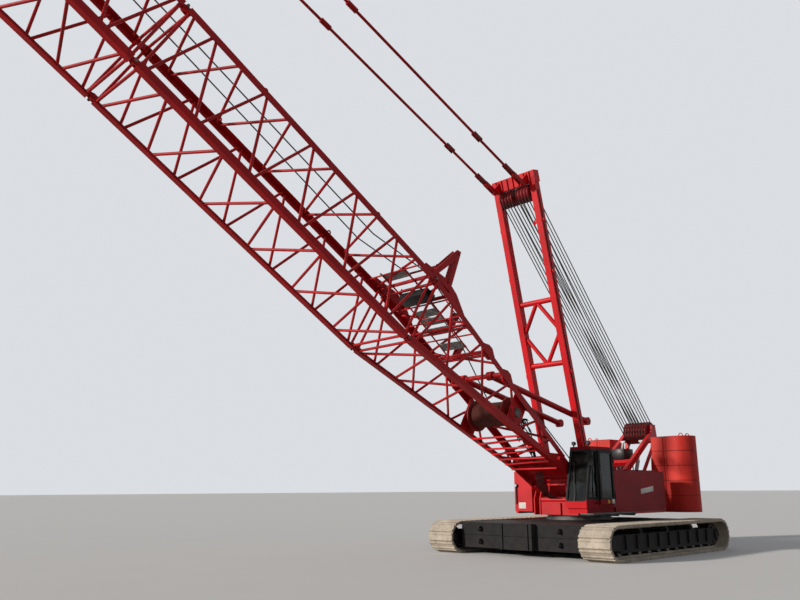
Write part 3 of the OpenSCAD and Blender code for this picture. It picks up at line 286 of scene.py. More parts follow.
def tinted_glass():
    f = Finish("tinted_glass", (0.012, 0.018, 0.018), 0.08, IOR=1.4)
    film = f.patches(4.0, 4.0, 0.35, 0.8)
    f.set(Base_Color=f.mix(film, (0.006, 0.009, 0.009), (0.030, 0.036, 0.034)),
          Roughness=film * 0.07 + 0.03, Alpha=film * 0.12 + 0.80)
    return f


def seat_cloth():
    f = Finish("seat_cloth", (0.03, 0.03, 0.033), 0.9, Sheen_Weight=0.25)
    weave = f.noise(260.0, 2.0)
    f.set(Base_Color=f.mix(weave.step(0.35, 0.65), (0.018, 0.018, 0.02), (0.06, 0.06, 0.065)))
    f.bump(weave, 0.4, 0.001)
    return f


def galvanised():
    f = Finish("grey_grating", (0.42, 0.42, 0.41), 0.5, metallic=0.35)
    f.set(Base_Color=f.mix(f.patches(12.0, 4.0), (0.26, 0.26, 0.255), (0.52, 0.51, 0.49)),
          Roughness=(f.noise(30.0) * 0.3) + 0.35)
    f.bump(f.noise(80.0, 2.0), 0.2, 0.001)
    return f


red = paint("red_enamel", SILL_RED, dust=0.1)
boom_red = paint("boom_enamel", (0.48, 0.008, 0.012), dust=0.03, grime=0.75, roughness=0.45,
                 coat=0.0, gloss=0.2)
mast_red = paint("mast_enamel", (0.64, 0.007, 0.013), dust=0.02, grime=0.35, coat=0.0)
# Painted shade: the house's left side and the louvres take the darkened red.
shaded_house_red = paint("house_enamel_painted_shade", SHADED_RED, dust=0.03, grime=0.3, coat=0.0, gloss=0.12)
slab_red = paint("counterweight_enamel", (0.66, 0.034, 0.024), dust=0.08, grime=0.6, roughness=0.55,
                 coat=0.0, joints=(0.70, 1.05, 0.31))
old_rope = paint("greasy_rope", (0.11, 0.024, 0.018), dust=0.03, grime=0.6, roughness=0.6,
                 coat=0.0)
drum_red = paint("drum_enamel", (0.24, 0.016, 0.012), dust=0.04, grime=0.8, roughness=0.55,
                 coat=0.0)
sheave_red = paint("sheave_enamel", (0.20, 0.010, 0.013), dust=0.08, grime=0.8, roughness=0.55,
                   coat=0.0)
cylinder_grey = paint("grey_cylinder", (0.42, 0.42, 0.42), dust=0.1, grime=0.3)
lamp_glass = paint("lamp_glass", (0.62, 0.63, 0.62), dust=0.05, grime=0.1, roughness=0.15, coat=0.5,
                   gloss=0.5)
black = paint("black_enamel", (0.008, 0.008, 0.009), dust=0.1, low_dust=0.03, roughness=0.7,
              grime=0.2, coat=0.0)
trim = paint("window_frame_enamel", (0.008, 0.008, 0.009), dust=0.08, grime=0.1, roughness=0.4)
plate_white = paint("white_plate", (0.78, 0.77, 0.72), dust=0.1, grime=0.25, roughness=0.5)
plate_yellow = paint("yellow_plate", (0.75, 0.50, 0.04), dust=0.1, grime=0.25, roughness=0.5)
cab_red_and_painted_shade, steel, wire_rope, cloth, grating_grey = (
    cab_paint(), greased_steel(), rope_steel(), seat_cloth(), galvanised())

by_slot = {"red_paint": red, "black_paint": black, "shoe_steel": soil_steel(), "bare_steel": steel,
           "rope": wire_rope, "glass": tinted_glass(), "seat": cloth}
by_node = {"cab_shell": cab_red_and_painted_shade, "cab_door": cab_red_and_painted_shade, "mast": mast_red, "house_left": shaded_house_red,
           "house_right": red, "butt_drum": drum_red, "rope_guide": boom_red, "pendants": boom_red}
for name in ("counterweight_left", "counterweight_right", "counterweight_tray"):
    by_node[name] = slab_red
for name in ("mast_sheaves", "gantry_sheaves", "drum_front", "drum_rear", "drum_boom_hoist"):
    by_node[name] = sheave_red
for part in frame["record"]["subparts"]:
    name = part["node"]
    finish = by_node.get(name, by_slot[part["material_slot"]])
    if name.startswith("boom_"):
        finish = boom_red
    if not nodes[name].material_slots:
        nodes[name].data.materials.append(finish.mat)
    for slot in nodes[name].material_slots:
        slot.material = finish.mat


# Shapes
BEVEL_FROM = 0.6  # least turn at an edge that is bevelled, in radians


def bar(bm, points, radius, sides=8):
    """A round bar through the points: a disc, extruded from one point to the next."""
    points = [Vector(p) for p in points]
    turn, stations = None, []
    for i, p in enumerate(points):
        way = (points[min(i + 1, len(points) - 1)] - points[max(i - 1, 0)]).normalized()
        if turn is None:
            turn = way.to_track_quat("Z", "X")
        else:
            turn = (turn @ Vector((0, 0, 1))).rotation_difference(way) @ turn
        stations.append(Matrix.Translation(p) @ turn.to_matrix().to_4x4())
    disc = bmesh.ops.create_circle(bm, cap_ends=True, radius=radius, segments=sides,
                                   matrix=stations[0])["verts"]
    end = disc[0].link_faces[0]
    for last, this in zip(stations, stations[1:]):
        grown = bmesh.ops.extrude_face_region(bm, geom=[end])["geom"]
        end = next(f for f in grown if isinstance(f, bmesh.types.BMFace))
        bmesh.ops.transform(bm, matrix=this @ last.inverted(), verts=end.verts)


def block(bm, low, high, frame_at=Matrix()):
    """A box from one corner to the other, given in the frame of the matrix."""
    low, high = Vector(low), Vector(high)
    box = Matrix.Translation((low + high) / 2) @ Matrix.Diagonal((*(high - low), 1.0))
    bmesh.ops.create_cube(bm, size=1.0, matrix=frame_at @ box)


def across(bm, along, z, y0, y1, radius, sides=12):
    """A round bar across the boom, from one side to the other."""
    bar(bm, [on_boom(along, y0, z), on_boom(along, y1, z)], radius, sides)


def ring_bars(bm, corners, radius):
    """Bars round a frame of corners."""
    for a, b in zip(corners, corners[1:] + corners[:1]):
        bar(bm, [a, b], radius)


def piece(name, bm, body, finish, bevel=0.0, smooth=30):
    """Turns a bmesh into a named piece that rides on a body."""
    rims = [e for e in bm.edges if e.is_manifold]
    # The discs that extruding leaves inside a bar come out, so that each bar is one closed skin
    inside = [f for f in bm.faces if all(len(e.link_faces) > 2 for e in f.edges)]
    bmesh.ops.delete(bm, geom=inside, context="FACES_ONLY")
    bmesh.ops.recalc_face_normals(bm, faces=bm.faces)
    if bevel:
        sharp = [e for e in rims if e.calc_face_angle(0) > BEVEL_FROM]
        bmesh.ops.bevel(bm, geom=sharp, offset=bevel, segments=2, profile=0.5, affect="EDGES",
                        material=-1)
    mesh = bpy.data.meshes.new(name)
    bm.to_mesh(mesh)
    bm.free()
    mesh.materials.append(finish.mat)
    for face in mesh.polygons:
        face.use_smooth = True
    mesh.set_sharp_from_angle(angle=math.radians(smooth))
    o = bpy.data.objects.new(name, mesh)
    bpy.context.scene.collection.objects.link(o)
    if body:
        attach(o, body)
    return o


def tangent(c1, r1, c2, r2, side):
    """Ends of the line that touches two circles of the XZ plane on the same side."""
    d = Vector((c2[0] - c1[0], c2[1] - c1[1]))
    a = math.atan2(d.y, d.x) + side * math.acos((r1 - r2) / d.length)
    n = Vector((math.cos(a), math.sin(a)))
    return Vector(c1) + n * r1, Vector(c2) + n * r2


# Boom-hoist ropes between the gantry's sheaves and the two sets in the mast's head. They have
# rings only at their ends, so they stay straight as the mast turns.
mast_sheave = on_mast(-0.02, 0, MAST_LENGTH - HEAD_HEIGHT - MAST_SHEAVE_R - 0.008)
falls_end = (mast_sheave.x, mast_sheave.z)
gantry_lanes = [(i - 3.5) * 2 * GANTRY_SET_HALF / 8 for i in range(8)]
mast_lanes = [side * MAST_SET_Y + (i - 1.5) * 2 * MAST_SET_HALF / 4
              for side in SIDES for i in range(4)]
bm = bmesh.new()
for gantry_y, mast_y in zip(gantry_lanes, mast_lanes):
    for side in SIDES:
        a, b = tangent(GANTRY, GANTRY_SHEAVE_R - GROOVE + ROPE_R,
                       falls_end, MAST_SHEAVE_R - GROOVE + ROPE_R, side)
        bar(bm, [(a.x, gantry_y, a.y), (b.x, mast_y, b.y)], ROPE_R)
falls = piece("boom_hoist_falls", bm, None, wire_rope)
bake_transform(falls)

# Load lines along the boom, and the lead of one from the front drum, which follows the boom
LEFT_LINE_Y, RIGHT_LINE_Y = 0.20, -0.16
over = UPPER_Z + 0.035
first = on_boom(2.51, LEFT_LINE_Y, 0.76)
drum_out = Vector((FRONT_DRUM[0] + 0.02, 0.12, FRONT_DRUM[1] + LOAD_DRUM_R + ROPE_R))
bm = bmesh.new()
bar(bm, [drum_out, first], ROPE_R)
lead = piece("load_line_lead", bm, None, wire_rope)
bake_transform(lead)
left_way = ((2.51, 0.76), (3.545, 0.84), (4.37, 0.875), (5.10, 1.015), (5.42, 1.015), (6.6, over))
right_way = ((2.62, 0.36), (3.70, 0.80), (5.20, 1.015), (5.45, 1.015), (6.62, over))
bm = bmesh.new()
for y, way in ((LEFT_LINE_Y, left_way), (RIGHT_LINE_Y, right_way)):
    points = [on_boom(along, y, z) for along, z in way]
    points.append(on_boom(BOOM_LENGTH - 0.62, y * 0.6, over))
    points.append(on_boom(BOOM_LENGTH - 0.25, y * 0.5, UPPER_Z + 0.02))
    bar(bm, points, ROPE_R)
piece("load_line", bm, "boom", wire_rope)

# Sheaves under the load lines and rollers on the rope guide, and what carries them
LINE_SHEAVES = ((4.37, 0.875, LEFT_LINE_Y), (3.70, 0.80, RIGHT_LINE_Y))
ROLLERS_AT = (5.10, 5.43)
bm = bmesh.new()
for along, z, y in LINE_SHEAVES:
    axle_z = z - 0.07
    for side in SIDES:
        inner, outer = y + side * 0.014, y + side * 0.030
        across(bm, along, axle_z, inner, outer, 0.085, 24)
    across(bm, along, axle_z, y - 0.06, y + 0.06, 0.062, 20)
for along in ROLLERS_AT:
    across(bm, along, 0.985, -0.56, 0.56, 0.019, 14)
piece("boom_guide_rollers", bm, "boom", sheave_red, bevel=0.004)
bm = bmesh.new()
for along, z, y in LINE_SHEAVES:
    face = butt_upper(along)
    for side in SIDES:
        cheek = y + side * 0.046
        block(bm, (along - 0.05, cheek - 0.006, face - 0.06),
              (along + 0.05, cheek + 0.006, z - 0.03), BOOM_FRAME)
    for x in (along - 0.05, along + 0.02):
        block(bm, (x, -0.60, face - 0.075), (x + 0.04, 0.60, face - 0.045), BOOM_FRAME)
for along in ROLLERS_AT:
    for y in (side * 0.565 for side in SIDES):
        block(bm, (along - 0.03, y - 0.008, 0.88), (along + 0.03, y + 0.008, 1.01), BOOM_FRAME)
piece("boom_guide_brackets", bm, "boom", boom_red, bevel=0.003)

# Short gratings along the middle of the butt's upper face, on two rails
GRATE_HALF, GRATE_LONG_BARS, GRATE_CROSS_BARS = 0.265, 26, 7
bm = bmesh.new()
for start, end in ((3.90, 4.08), (4.29, 4.46), (4.52, 4.69), (4.71, 4.87), (5.62, 5.78)):
    z = min(butt_upper(start), UPPER_Z) - 0.035
    for k in range(GRATE_LONG_BARS + 1):
        y = -GRATE_HALF + 2 * GRATE_HALF * k / GRATE_LONG_BARS
        block(bm, (start, y - 0.003, z - 0.010), (end, y + 0.003, z + 0.010), BOOM_FRAME)
    for k in range(GRATE_CROSS_BARS + 1):
        x = start + (end - start) * k / GRATE_CROSS_BARS
        block(bm, (x - 0.0025, -GRATE_HALF, z - 0.006), (x + 0.0025, GRATE_HALF, z + 0.006),
              BOOM_FRAME)
piece("butt_gratings", bm, "boom", grating_grey)
bm = bmesh.new()
for y in (-GRATE_HALF, GRATE_HALF):
    bar(bm, [on_boom(along, y, min(butt_upper(along), UPPER_Z) - 0.055)
             for along in (3.7, 5.40, 5.85)], 0.014, 12)
for along in (3.78, 4.18, 4.60, 4.98, 5.36, 5.80):
    across(bm, along, min(butt_upper(along), UPPER_Z) - 0.058, -0.60, 0.60, 0.015)
piece("grating_rails", bm, "boom", boom_red)
# A black box with four ribs on top, put where a deep shadow falls in the butt: a dark thing that
# stands in as painted shade.
bm = bmesh.new()
block(bm, (5.10, -0.22, 0.50), (5.32, 0.42, 0.64), BOOM_FRAME)
for k in range(4):
    y = -0.17 + 0.15 * k
    block(bm, (5.14, y, 0.64), (5.28, y + 0.10, 0.655), BOOM_FRAME)
piece("black_box_in_shade", bm, "boom", trim, bevel=0.006)

# Bars across the lower face of the butt, and the cover plate at its foot
bm = bmesh.new()
for k in range(7):
    along = 0.98 + 0.21 * k
    half, z, skew = butt_half(along) - 0.05, butt_lower(along) + 0.02, 0.07 if k % 2 else 0.0
    bar(bm, [on_boom(along, -half, z), on_boom(along + skew, half, z)], 0.019, 12)
block(bm, (0.52, -0.50, -0.015), (0.90, 0.50, 0.003), BOOM_FRAME)
piece("butt_cross_bars", bm, "boom", mast_red, bevel=0.003)

# Hoses that hang in the butt between its foot and the drum's motor, with coils at the motor
bm = bmesh.new()
for k in range(9):
    start = Vector((0.80 + 0.05 * k, -0.10 + 0.03 * k, -0.02))
    end = Vector((2.10 + 0.02 * k, 0.34 - 0.05 * (k % 3), 0.16 - 0.03 * k))
    points = []
    for i in range(25):
        t = i / 24
        p, arch = start.lerp(end, t), math.sin(math.pi * t)
        p.z += arch * (0.05 + 0.018 * (k % 4)) + 0.025 * math.sin(7 * t + k)
        p.y += 0.06 * math.sin(5 * t + 1.3 * k) * arch
        points.append(on_boom(*p))
    bar(bm, points, 0.0105)
for k in range(10):
    r, c = 0.09 + 0.013 * k, Vector((2.12 - 0.035 * k, 0.34 - 0.03 * (k % 5), 0.16 - 0.008 * k))
    angles = [math.radians(20 + 31 * k + 13 * i) for i in range(22)]
    bar(bm, [on_boom(c.x + 1.1 * r * math.cos(a), c.y + 0.03 * math.sin(2 * a + k),
                     c.z + r * math.sin(a)) for a in angles], 0.011)
piece("butt_hoses", bm, "boom", trim)

# Bearing caps of the drum in the butt, with their bolts
CAP_Y, CAP_BOLTS_R = 0.556, 0.068
bm = bmesh.new()
for side in SIDES:
    x, z = BUTT_DRUM
    across(bm, x, z, side * 0.532, side * CAP_Y, 0.085, 24)
    for a in (2 * math.pi * i / 8 for i in range(8)):
        across(bm, x + CAP_BOLTS_R * math.cos(a), z + CAP_BOLTS_R * math.sin(a),
               side * CAP_Y, side * (CAP_Y + 0.008), 0.010, 6)
piece("butt_drum_caps", bm, "boom", steel, bevel=0.002)


def wound(name, body, centre, half, core, frame_at=Matrix()):
    """One layer of rope on a drum, spun as a helix."""
    turns, per_turn, r = int(2 * half / (2.1 * ROPE_R)), 20, core + ROPE_R
    bm = bmesh.new()
    start = Matrix.Translation((centre[0] + r, -half, centre[1]))
    bmesh.ops.create_circle(bm, cap_ends=True, radius=ROPE_R, segments=6, matrix=start)
    bmesh.ops.spin(bm, geom=[*bm.verts, *bm.edges, *bm.faces], cent=(centre[0], 0, centre[1]),
                   axis=(0, 1, 0), dvec=(0, 2 * half / (turns * per_turn), 0),
                   angle=2 * math.pi * turns, steps=turns * per_turn)
    bmesh.ops.transform(bm, matrix=frame_at, verts=bm.verts)
    piece(name, bm, body, old_rope, smooth=60)


wound("butt_drum_rope", "boom", BUTT_DRUM, BUTT_DRUM_HALF, BUTT_DRUM_R, BOOM_FRAME)
wound("front_drum_rope", "upperworks", FRONT_DRUM, DRUM_HALF, LOAD_DRUM_R)
wound("rear_drum_rope", "upperworks", REAR_DRUM, DRUM_HALF, LOAD_DRUM_R)
wound("boom_hoist_drum_rope", "upperworks", HOIST_DRUM, DRUM_HALF, HOIST_DRUM_R)


def plate(name, body, corners, finish, thickness=0.004):
    """A thin blank plate: a face through four corners, extruded along its normal."""
    bm = bmesh.new()
    face = bm.faces.new([bm.verts.new(c) for c in corners])
    face.normal_update()
    out = face.normal * thickness
    grown = bmesh.ops.extrude_face_region(bm, geom=[face])["geom"]
    bmesh.ops.translate(bm, vec=out, verts=[v for v in grown if isinstance(v, bmesh.types.BMVert)])
    piece(name, bm, body, finish, bevel=0.001)


plate("front_plate", "upperworks", [(FRONT_X, -0.95, 0.816), (FRONT_X, -0.775, 0.816),
                                    (FRONT_X, -0.775, 0.934), (FRONT_X, -0.95, 0.934)], plate_white)
plate("side_plate", "upperworks", [(-0.64, SIDE_Y, 1.09), (-1.14, SIDE_Y, 1.144),
                                   (-1.14, SIDE_Y, 1.243), (-0.64, SIDE_Y, 1.185)], plate_white)
plate("door_plate_a", "door", [(0.52, DOOR_Y, 0.925), (0.43, DOOR_Y, 0.925),
                               (0.43, DOOR_Y, 1.005), (0.52, DOOR_Y, 1.005)], plate_white)
plate("door_plate_b", "door", [(0.66, DOOR_Y, 0.93), (0.60, DOOR_Y, 0.93),
                               (0.60, DOOR_Y, 0.99), (0.66, DOOR_Y, 0.99)], plate_yellow)

# Lamps on a pole at the front corner of the right house and on two posts on the cab's roof
POLE_X, POLE_Y = 0.722, -0.99
ROOF_LAMPS = ((1.05, 0.66), (1.05, 0.98))
LAMPS = ((POLE_X, POLE_Y, 1.27), *((x, y, 2.03) for x, y in ROOF_LAMPS))
bm = bmesh.new()
bar(bm, [(POLE_X, POLE_Y, 0.90), (POLE_X, POLE_Y, 1.25)], 0.011, 12)
for z in (0.95, 1.18):
    block(bm, (0.703, -1.0, z), (0.724, -0.98, z + 0.02))
for x, y in ROOF_LAMPS:
    bar(bm, [(x, y, 1.95), (x, y, 2.0)], 0.012, 12)
piece("lamp_brackets", bm, "upperworks", black, bevel=0.002)
bm = bmesh.new()
for x, y, z in LAMPS:
    bar(bm, [(x - 0.035, y, z), (x - 0.01, y, z), (x + 0.022, y, z)], 0.036, 20)
    bar(bm, [(x + 0.020, y, z), (x + 0.026, y, z)], 0.030, 20)
piece("lamps", bm, "upperworks", trim, bevel=0.003)
bm = bmesh.new()
for x, y, z in LAMPS:
    bar(bm, [(x + 0.025, y, z), (x + 0.029, y, z)], 0.026, 20)
piece("lamp_lenses", bm, "upperworks", lamp_glass)

# Two bars over the opening between the foot ears, with the valve block behind
bm = bmesh.new()
for z in (1.262, 1.325):
    block(bm, (0.66, -0.24, z), (0.705, 0.186, z + 0.032))
for y in (-0.235, 0.165):
    block(bm, (0.62, y, 0.97), (0.662, y + 0.016, 1.36))
piece("front_bars", bm, "upperworks", red, bevel=0.004)
bm = bmesh.new()
block(bm, (0.44, -0.17, 0.79), (0.60, 0.07, 1.02))
for y in (-0.155 + 0.036 * k for k in range(6)):
    block(bm, (0.598, y, 0.82), (0.616, y + 0.024, 0.99))
    bar(bm, [(0.616, y + 0.012, 0.95), (0.64, y + 0.012, 0.95)], 0.007)
piece("valve_block", bm, "upperworks", steel, bevel=0.002)

# Cab: window seals, wiper, handle, grab rail and mirror
SEAL_R = 0.007
PANE_FOOT, PANE_HEAD, PANE_SIDES = 0.985, 1.88, (0.637, 1.003)


def windscreen(y, z, ahead=0.0):
    """A point in front of the sloping windscreen."""
    return (1.33 - 0.255 * (z - 0.97) / 0.995 + ahead, y, z)


bm = bmesh.new()
for y in PANE_SIDES:
    bar(bm, [windscreen(y, z, 0.004) for z in (PANE_FOOT, 1.3, 1.6, PANE_HEAD)], SEAL_R)
for z in (PANE_FOOT, PANE_HEAD):
    bar(bm, [windscreen(y, z, 0.004) for y in PANE_SIDES], SEAL_R)
ring_bars(bm, [(x, SIDE_Y + 0.002, z) for x, z in
               ((0.94, 1.045), (1.255, 1.045), (1.036, 1.872), (0.94, 1.872))], SEAL_R)
piece("window_seals", bm, "upperworks", trim)
bm = bmesh.new()
ring_bars(bm, [(x, DOOR_Y + 0.001, z) for x, z in
               ((0.452, 1.022), (0.858, 1.022), (0.858, 1.848), (0.452, 1.848))], SEAL_R)
piece("door_seal", bm, "door", trim)
bm = bmesh.new()
bar(bm, [windscreen(0.80, 1.0, 0.012), windscreen(0.78, 1.2, 0.022), windscreen(0.74, 1.5, 0.018)],
    0.006)
bar(bm, [windscreen(0.755, 1.28, 0.012), windscreen(0.725, 1.68, 0.012)], 0.007)
hub_x = windscreen(0.80, 0.99)[0]
bar(bm, [(hub_x + 0.002, 0.80, 0.995), (hub_x + 0.026, 0.80, 0.998)], 0.014, 12)
piece("wiper", bm, "upperworks", trim)
HANDLE_X = 0.872
bm = bmesh.new()
grip = ((0, 1.30), (0.026, 1.30), (0.030, 1.33), (0.030, 1.45), (0.026, 1.48), (0, 1.48))
bar(bm, [(HANDLE_X, DOOR_Y + out, z) for out, z in grip], 0.008, 10)
block(bm, (HANDLE_X - 0.014, DOOR_Y - 0.001, 1.27), (HANDLE_X + 0.016, DOOR_Y + 0.006, 1.51))
piece("door_handle", bm, "door", steel, bevel=0.001)
bm = bmesh.new()
bar(bm, [(x, SIDE_Y + out, z) for x, out, z in
         ((1.02, 0, 0.93), (1.02, 0.035, 0.94), (1.00, 0.045, 1.0), (0.955, 0.045, 1.6),
          (0.95, 0.035, 1.66), (0.95, 0, 1.67))], 0.010, 12)
MIRROR_X, MIRROR_Y = 1.25, SIDE_Y + 0.10
bar(bm, [(1.12, SIDE_Y, 1.70), (1.20, SIDE_Y + 0.06, 1.72), (MIRROR_X, MIRROR_Y, 1.72)], 0.009, 12)
bar(bm, [(MIRROR_X, MIRROR_Y, 1.60), (MIRROR_X, MIRROR_Y, 1.80)], 0.008, 12)
block(bm, (MIRROR_X + 0.002, MIRROR_Y - 0.055, 1.61), (MIRROR_X + 0.024, MIRROR_Y + 0.055, 1.79))
piece("cab_rails_and_mirror", bm, "upperworks", black, bevel=0.003)

# Grating on the walkway beside the house
WALK_X, WALK_Y, WALK_Z, WALK_SLATS, WALK_BARS = (0.045, 1.52), (1.028, 1.293), 0.753, 73, 6
bm = bmesh.new()
for k in range(WALK_SLATS + 1):
    x = WALK_X[0] + (WALK_X[1] - WALK_X[0]) * k / WALK_SLATS
    block(bm, (x - 0.002, WALK_Y[0], WALK_Z), (x + 0.002, WALK_Y[1], WALK_Z + 0.012))
for k in range(WALK_BARS + 1):
    y = WALK_Y[0] + (WALK_Y[1] - WALK_Y[0]) * k / WALK_BARS
    block(bm, (WALK_X[0], y - 0.003, WALK_Z), (WALK_X[1], y + 0.003, WALK_Z + 0.014))
piece("walkway_grating", bm, "upperworks", steel)

# Grey cylinders that raise the gantry, the cabinet between its legs, and a rail on the roof
CYLINDERS_Y = (-0.225, 0.225)
CYLINDER_FOOT, ROD_HEAD = (-1.88, 1.34), (-2.30, 2.22)
bm = bmesh.new()
for y in CYLINDERS_Y:
    x, z = CYLINDER_FOOT
    bar(bm, [(x, y, z), (-2.10, y, 1.80)], 0.040, 20)
    bar(bm, [(x, y - 0.03, z), (x, y + 0.03, z)], 0.05, 20)
    block(bm, (x - 0.04, y - 0.012, 0.76), (x + 0.04, y + 0.012, z))
piece("gantry_cylinders", bm, "upperworks", cylinder_grey, bevel=0.004)
bm = bmesh.new()
for y in CYLINDERS_Y:
    x, z = ROD_HEAD
    bar(bm, [(-2.09, y, 1.78), (x, y, z)], 0.023, 16)
    bar(bm, [(x, y - 0.05, z), (x, y + 0.05, z)], 0.03, 16)
piece("gantry_rods", bm, "upperworks", lamp_glass)
bm = bmesh.new()
block(bm, (-2.04, -0.15, 1.80), (-1.64, 0.15, 2.04))
for x in (-2.03, -1.83):
    for y in (-0.14, 0.125):
        block(bm, (x, y, 0.76), (x + 0.02, y + 0.02, 1.81))
block(bm, (-1.639, -0.13, 1.82), (-1.632, 0.13, 2.02))
piece("gantry_cabinet", bm, "upperworks", trim, bevel=0.006)
RAIL_Y, RAIL_Z, RAIL_R = -0.80, 1.60, 0.010
bm = bmesh.new()
for x in (-0.40 + 0.235 * k for k in range(5)):
    bar(bm, [(x, RAIL_Y, 1.545), (x, RAIL_Y, RAIL_Z)], RAIL_R, 10)
bar(bm, [(-0.42, RAIL_Y, RAIL_Z), (0.56, RAIL_Y, RAIL_Z)], RAIL_R, 10)
piece("roof_rail", bm, "upperworks", red)

# Louvred doors along the right house, with their handles
DOORS_X = (-1.46, -0.84, -0.22)
DOOR_WIDTH, DOOR_LOW, DOOR_HIGH, DOOR_EDGE = 0.52, 0.86, 1.30, 0.012
bm = bmesh.new()
for x in DOORS_X:
    end = x + DOOR_WIDTH
    for x0, z0, x1, z1 in ((x, DOOR_LOW, end, DOOR_LOW + DOOR_EDGE),
                           (x, DOOR_HIGH - DOOR_EDGE, end, DOOR_HIGH),
                           (x, DOOR_LOW, x + DOOR_EDGE, DOOR_HIGH),
                           (end - DOOR_EDGE, DOOR_LOW, end, DOOR_HIGH)):
        block(bm, (x0, -SIDE_Y - 0.005, z0), (x1, -SIDE_Y + 0.001, z1))
    for k in range(9):
        slat = Matrix.Translation((x + DOOR_WIDTH / 2, -SIDE_Y - 0.005, 0.98 + 0.032 * k))
        block(bm, (-0.19, -0.008, -0.003), (0.19, 0.008, 0.003),
              slat @ Matrix.Rotation(math.radians(35), 4, "X"))
piece("house_louvres", bm, "upperworks", shaded_house_red, bevel=0.001)
bm = bmesh.new()
for x in DOORS_X:
    bar(bm, [(x + 0.46, -SIDE_Y - out, z) for out, z in
             ((0, 0.90), (0.02, 0.905), (0.02, 0.955), (0, 0.96))], 0.005)
piece("house_handles", bm, "upperworks", steel)

# Lifting eyes on the counterweight stacks
STACK_Y, STACK_TOP = 1.13, 2.295
bm = bmesh.new()
for y in (side * STACK_Y for side in SIDES):
    for x in (-2.66, -2.36):
        bar(bm, [(x, y + 0.045 * math.cos(a), STACK_TOP + 0.06 * math.sin(a))
                 for a in (math.pi * i / 10 for i in range(11))], 0.010, 10)
piece("counterweight_eyes", bm, "upperworks", slab_red)

# Bolts round the caps of the crawlers' end axles
AXLE_X, AXLE_Y, AXLE_Z, AXLE_BOLTS_R = 1.9604, 1.91, 0.303, 0.062
bm = bmesh.new()
for side in SIDES:
    for axle_x in (-AXLE_X, AXLE_X):
        for a in (math.pi * (k + 0.5) / 4 for k in range(8)):
            x, z = axle_x + AXLE_BOLTS_R * math.cos(a), AXLE_Z + AXLE_BOLTS_R * math.sin(a)
            bar(bm, [(x, side * AXLE_Y, z), (x, side * (AXLE_Y + 0.010), z)], 0.009, 6)
piece("axle_cap_bolts", bm, "undercarriage", steel, bevel=0.0015)

# Hoses that run from the bed to the boom's foot
HOSE_SAG = Vector((0.10, 0, -0.10))
bm = bmesh.new()
for y in (-0.20 + 0.045 * k for k in range(5)):
    start, end = Vector((0.60, y, 1.0)), on_boom(0.72, y * 0.8, -0.05)
    bar(bm, [start.lerp(end, t) + HOSE_SAG * math.sin(math.pi * t)
             for t in (i / 16 for i in range(17))], 0.010)
hoses = piece("boom_hoses", bm, None, trim)
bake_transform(hoses)

# Heads of the pins that join the boom's sections
bm = bmesh.new()
station = BUTT
for length in (INSERT, INSERT, INSERT, SHORT_INSERT, TOP):
    for y in (side * (HALF_WIDTH - 0.035) for side in SIDES):
        for z in (LOWER_Z + 0.035, UPPER_Z - 0.035):
            for side in SIDES:
                across(bm, station, z, y + side * 0.048, y + side * 0.060, 0.022)
    station += length
piece("section_pin_heads", bm, "boom", steel, bevel=0.002)

# Link plates with their pins, where the pendants' bars meet near the mast
PENDANT_Y = 0.35
low, high = on_mast(0.28, 0, 6.155), Vector((24.516, 0, 16.594))
pendant_rise = math.atan2(high.z - low.z, high.x - low.x)
PENDANT_FRAME = Matrix.Translation(low) @ Matrix.Rotation(-pendant_rise, 4, "Y")
bm = bmesh.new()
for y in (side * PENDANT_Y for side in SIDES):
    for mid, half in ((0.47, 0.15), (1.48, 0.12)):
        for cheek in (y - 0.034, y + 0.034):
            block(bm, (mid - half, cheek - 0.007, -0.036), (mid + half, cheek + 0.007, 0.036),
                  PENDANT_FRAME)
        for x in (mid - half + 0.035, mid + half - 0.035):
            bar(bm, [PENDANT_FRAME @ Vector((x, y + end, 0)) for end in (-0.052, 0.052)], 0.017, 12)
        block(bm, (mid - 0.05, y - 0.03, -0.029), (mid + 0.05, y + 0.03, 0.029), PENDANT_FRAME)
piece("pendant_link_plates", bm, "pendants", sheave_red, bevel=0.004)

# Lugs, a small bracket and a cable along the mast's legs
LEG_FACE, LUG_Y = LEG_Y + LEG_HALF, LEG_Y + LEG_HALF + 0.014
bm = bmesh.new()
for z in (5.37, 4.32, 2.30):
    for y in (side * LUG_Y for side in SIDES):
        block(bm, (-0.02, y - 0.016, z - 0.035), (0.05, y + 0.016, z + 0.035), MAST_FRAME)
block(bm, (0.03, 0.30, 5.33), (0.05, LEG_Y - LEG_HALF + 0.004, 5.39), MAST_FRAME)
bar(bm, [on_mast(0.04, 0.315, 5.315), on_mast(0.04, 0.315, 5.405)], 0.022, 14)
piece("mast_lugs", bm, "mast", mast_red, bevel=0.004)
bm = bmesh.new()
bar(bm, [on_mast(0.02, LEG_FACE + 0.008, z) for z in (0.5, 1.6, 2.7, 3.8, 4.9, 6.0)], 0.007)
piece("mast_cable", bm, "mast", trim)

# Seat: its pedestal with the bracket of the back, and a console with levers before it
SEAT_Y, SEAT_FLOOR = 0.82, 0.884


def seat_box(x, half_width, z):
    """Corners of a box that lies across the seat's middle line, above the cab's floor."""
    return ((x[0], SEAT_Y - half_width, SEAT_FLOOR + z[0]),
            (x[1], SEAT_Y + half_width, SEAT_FLOOR + z[1]))


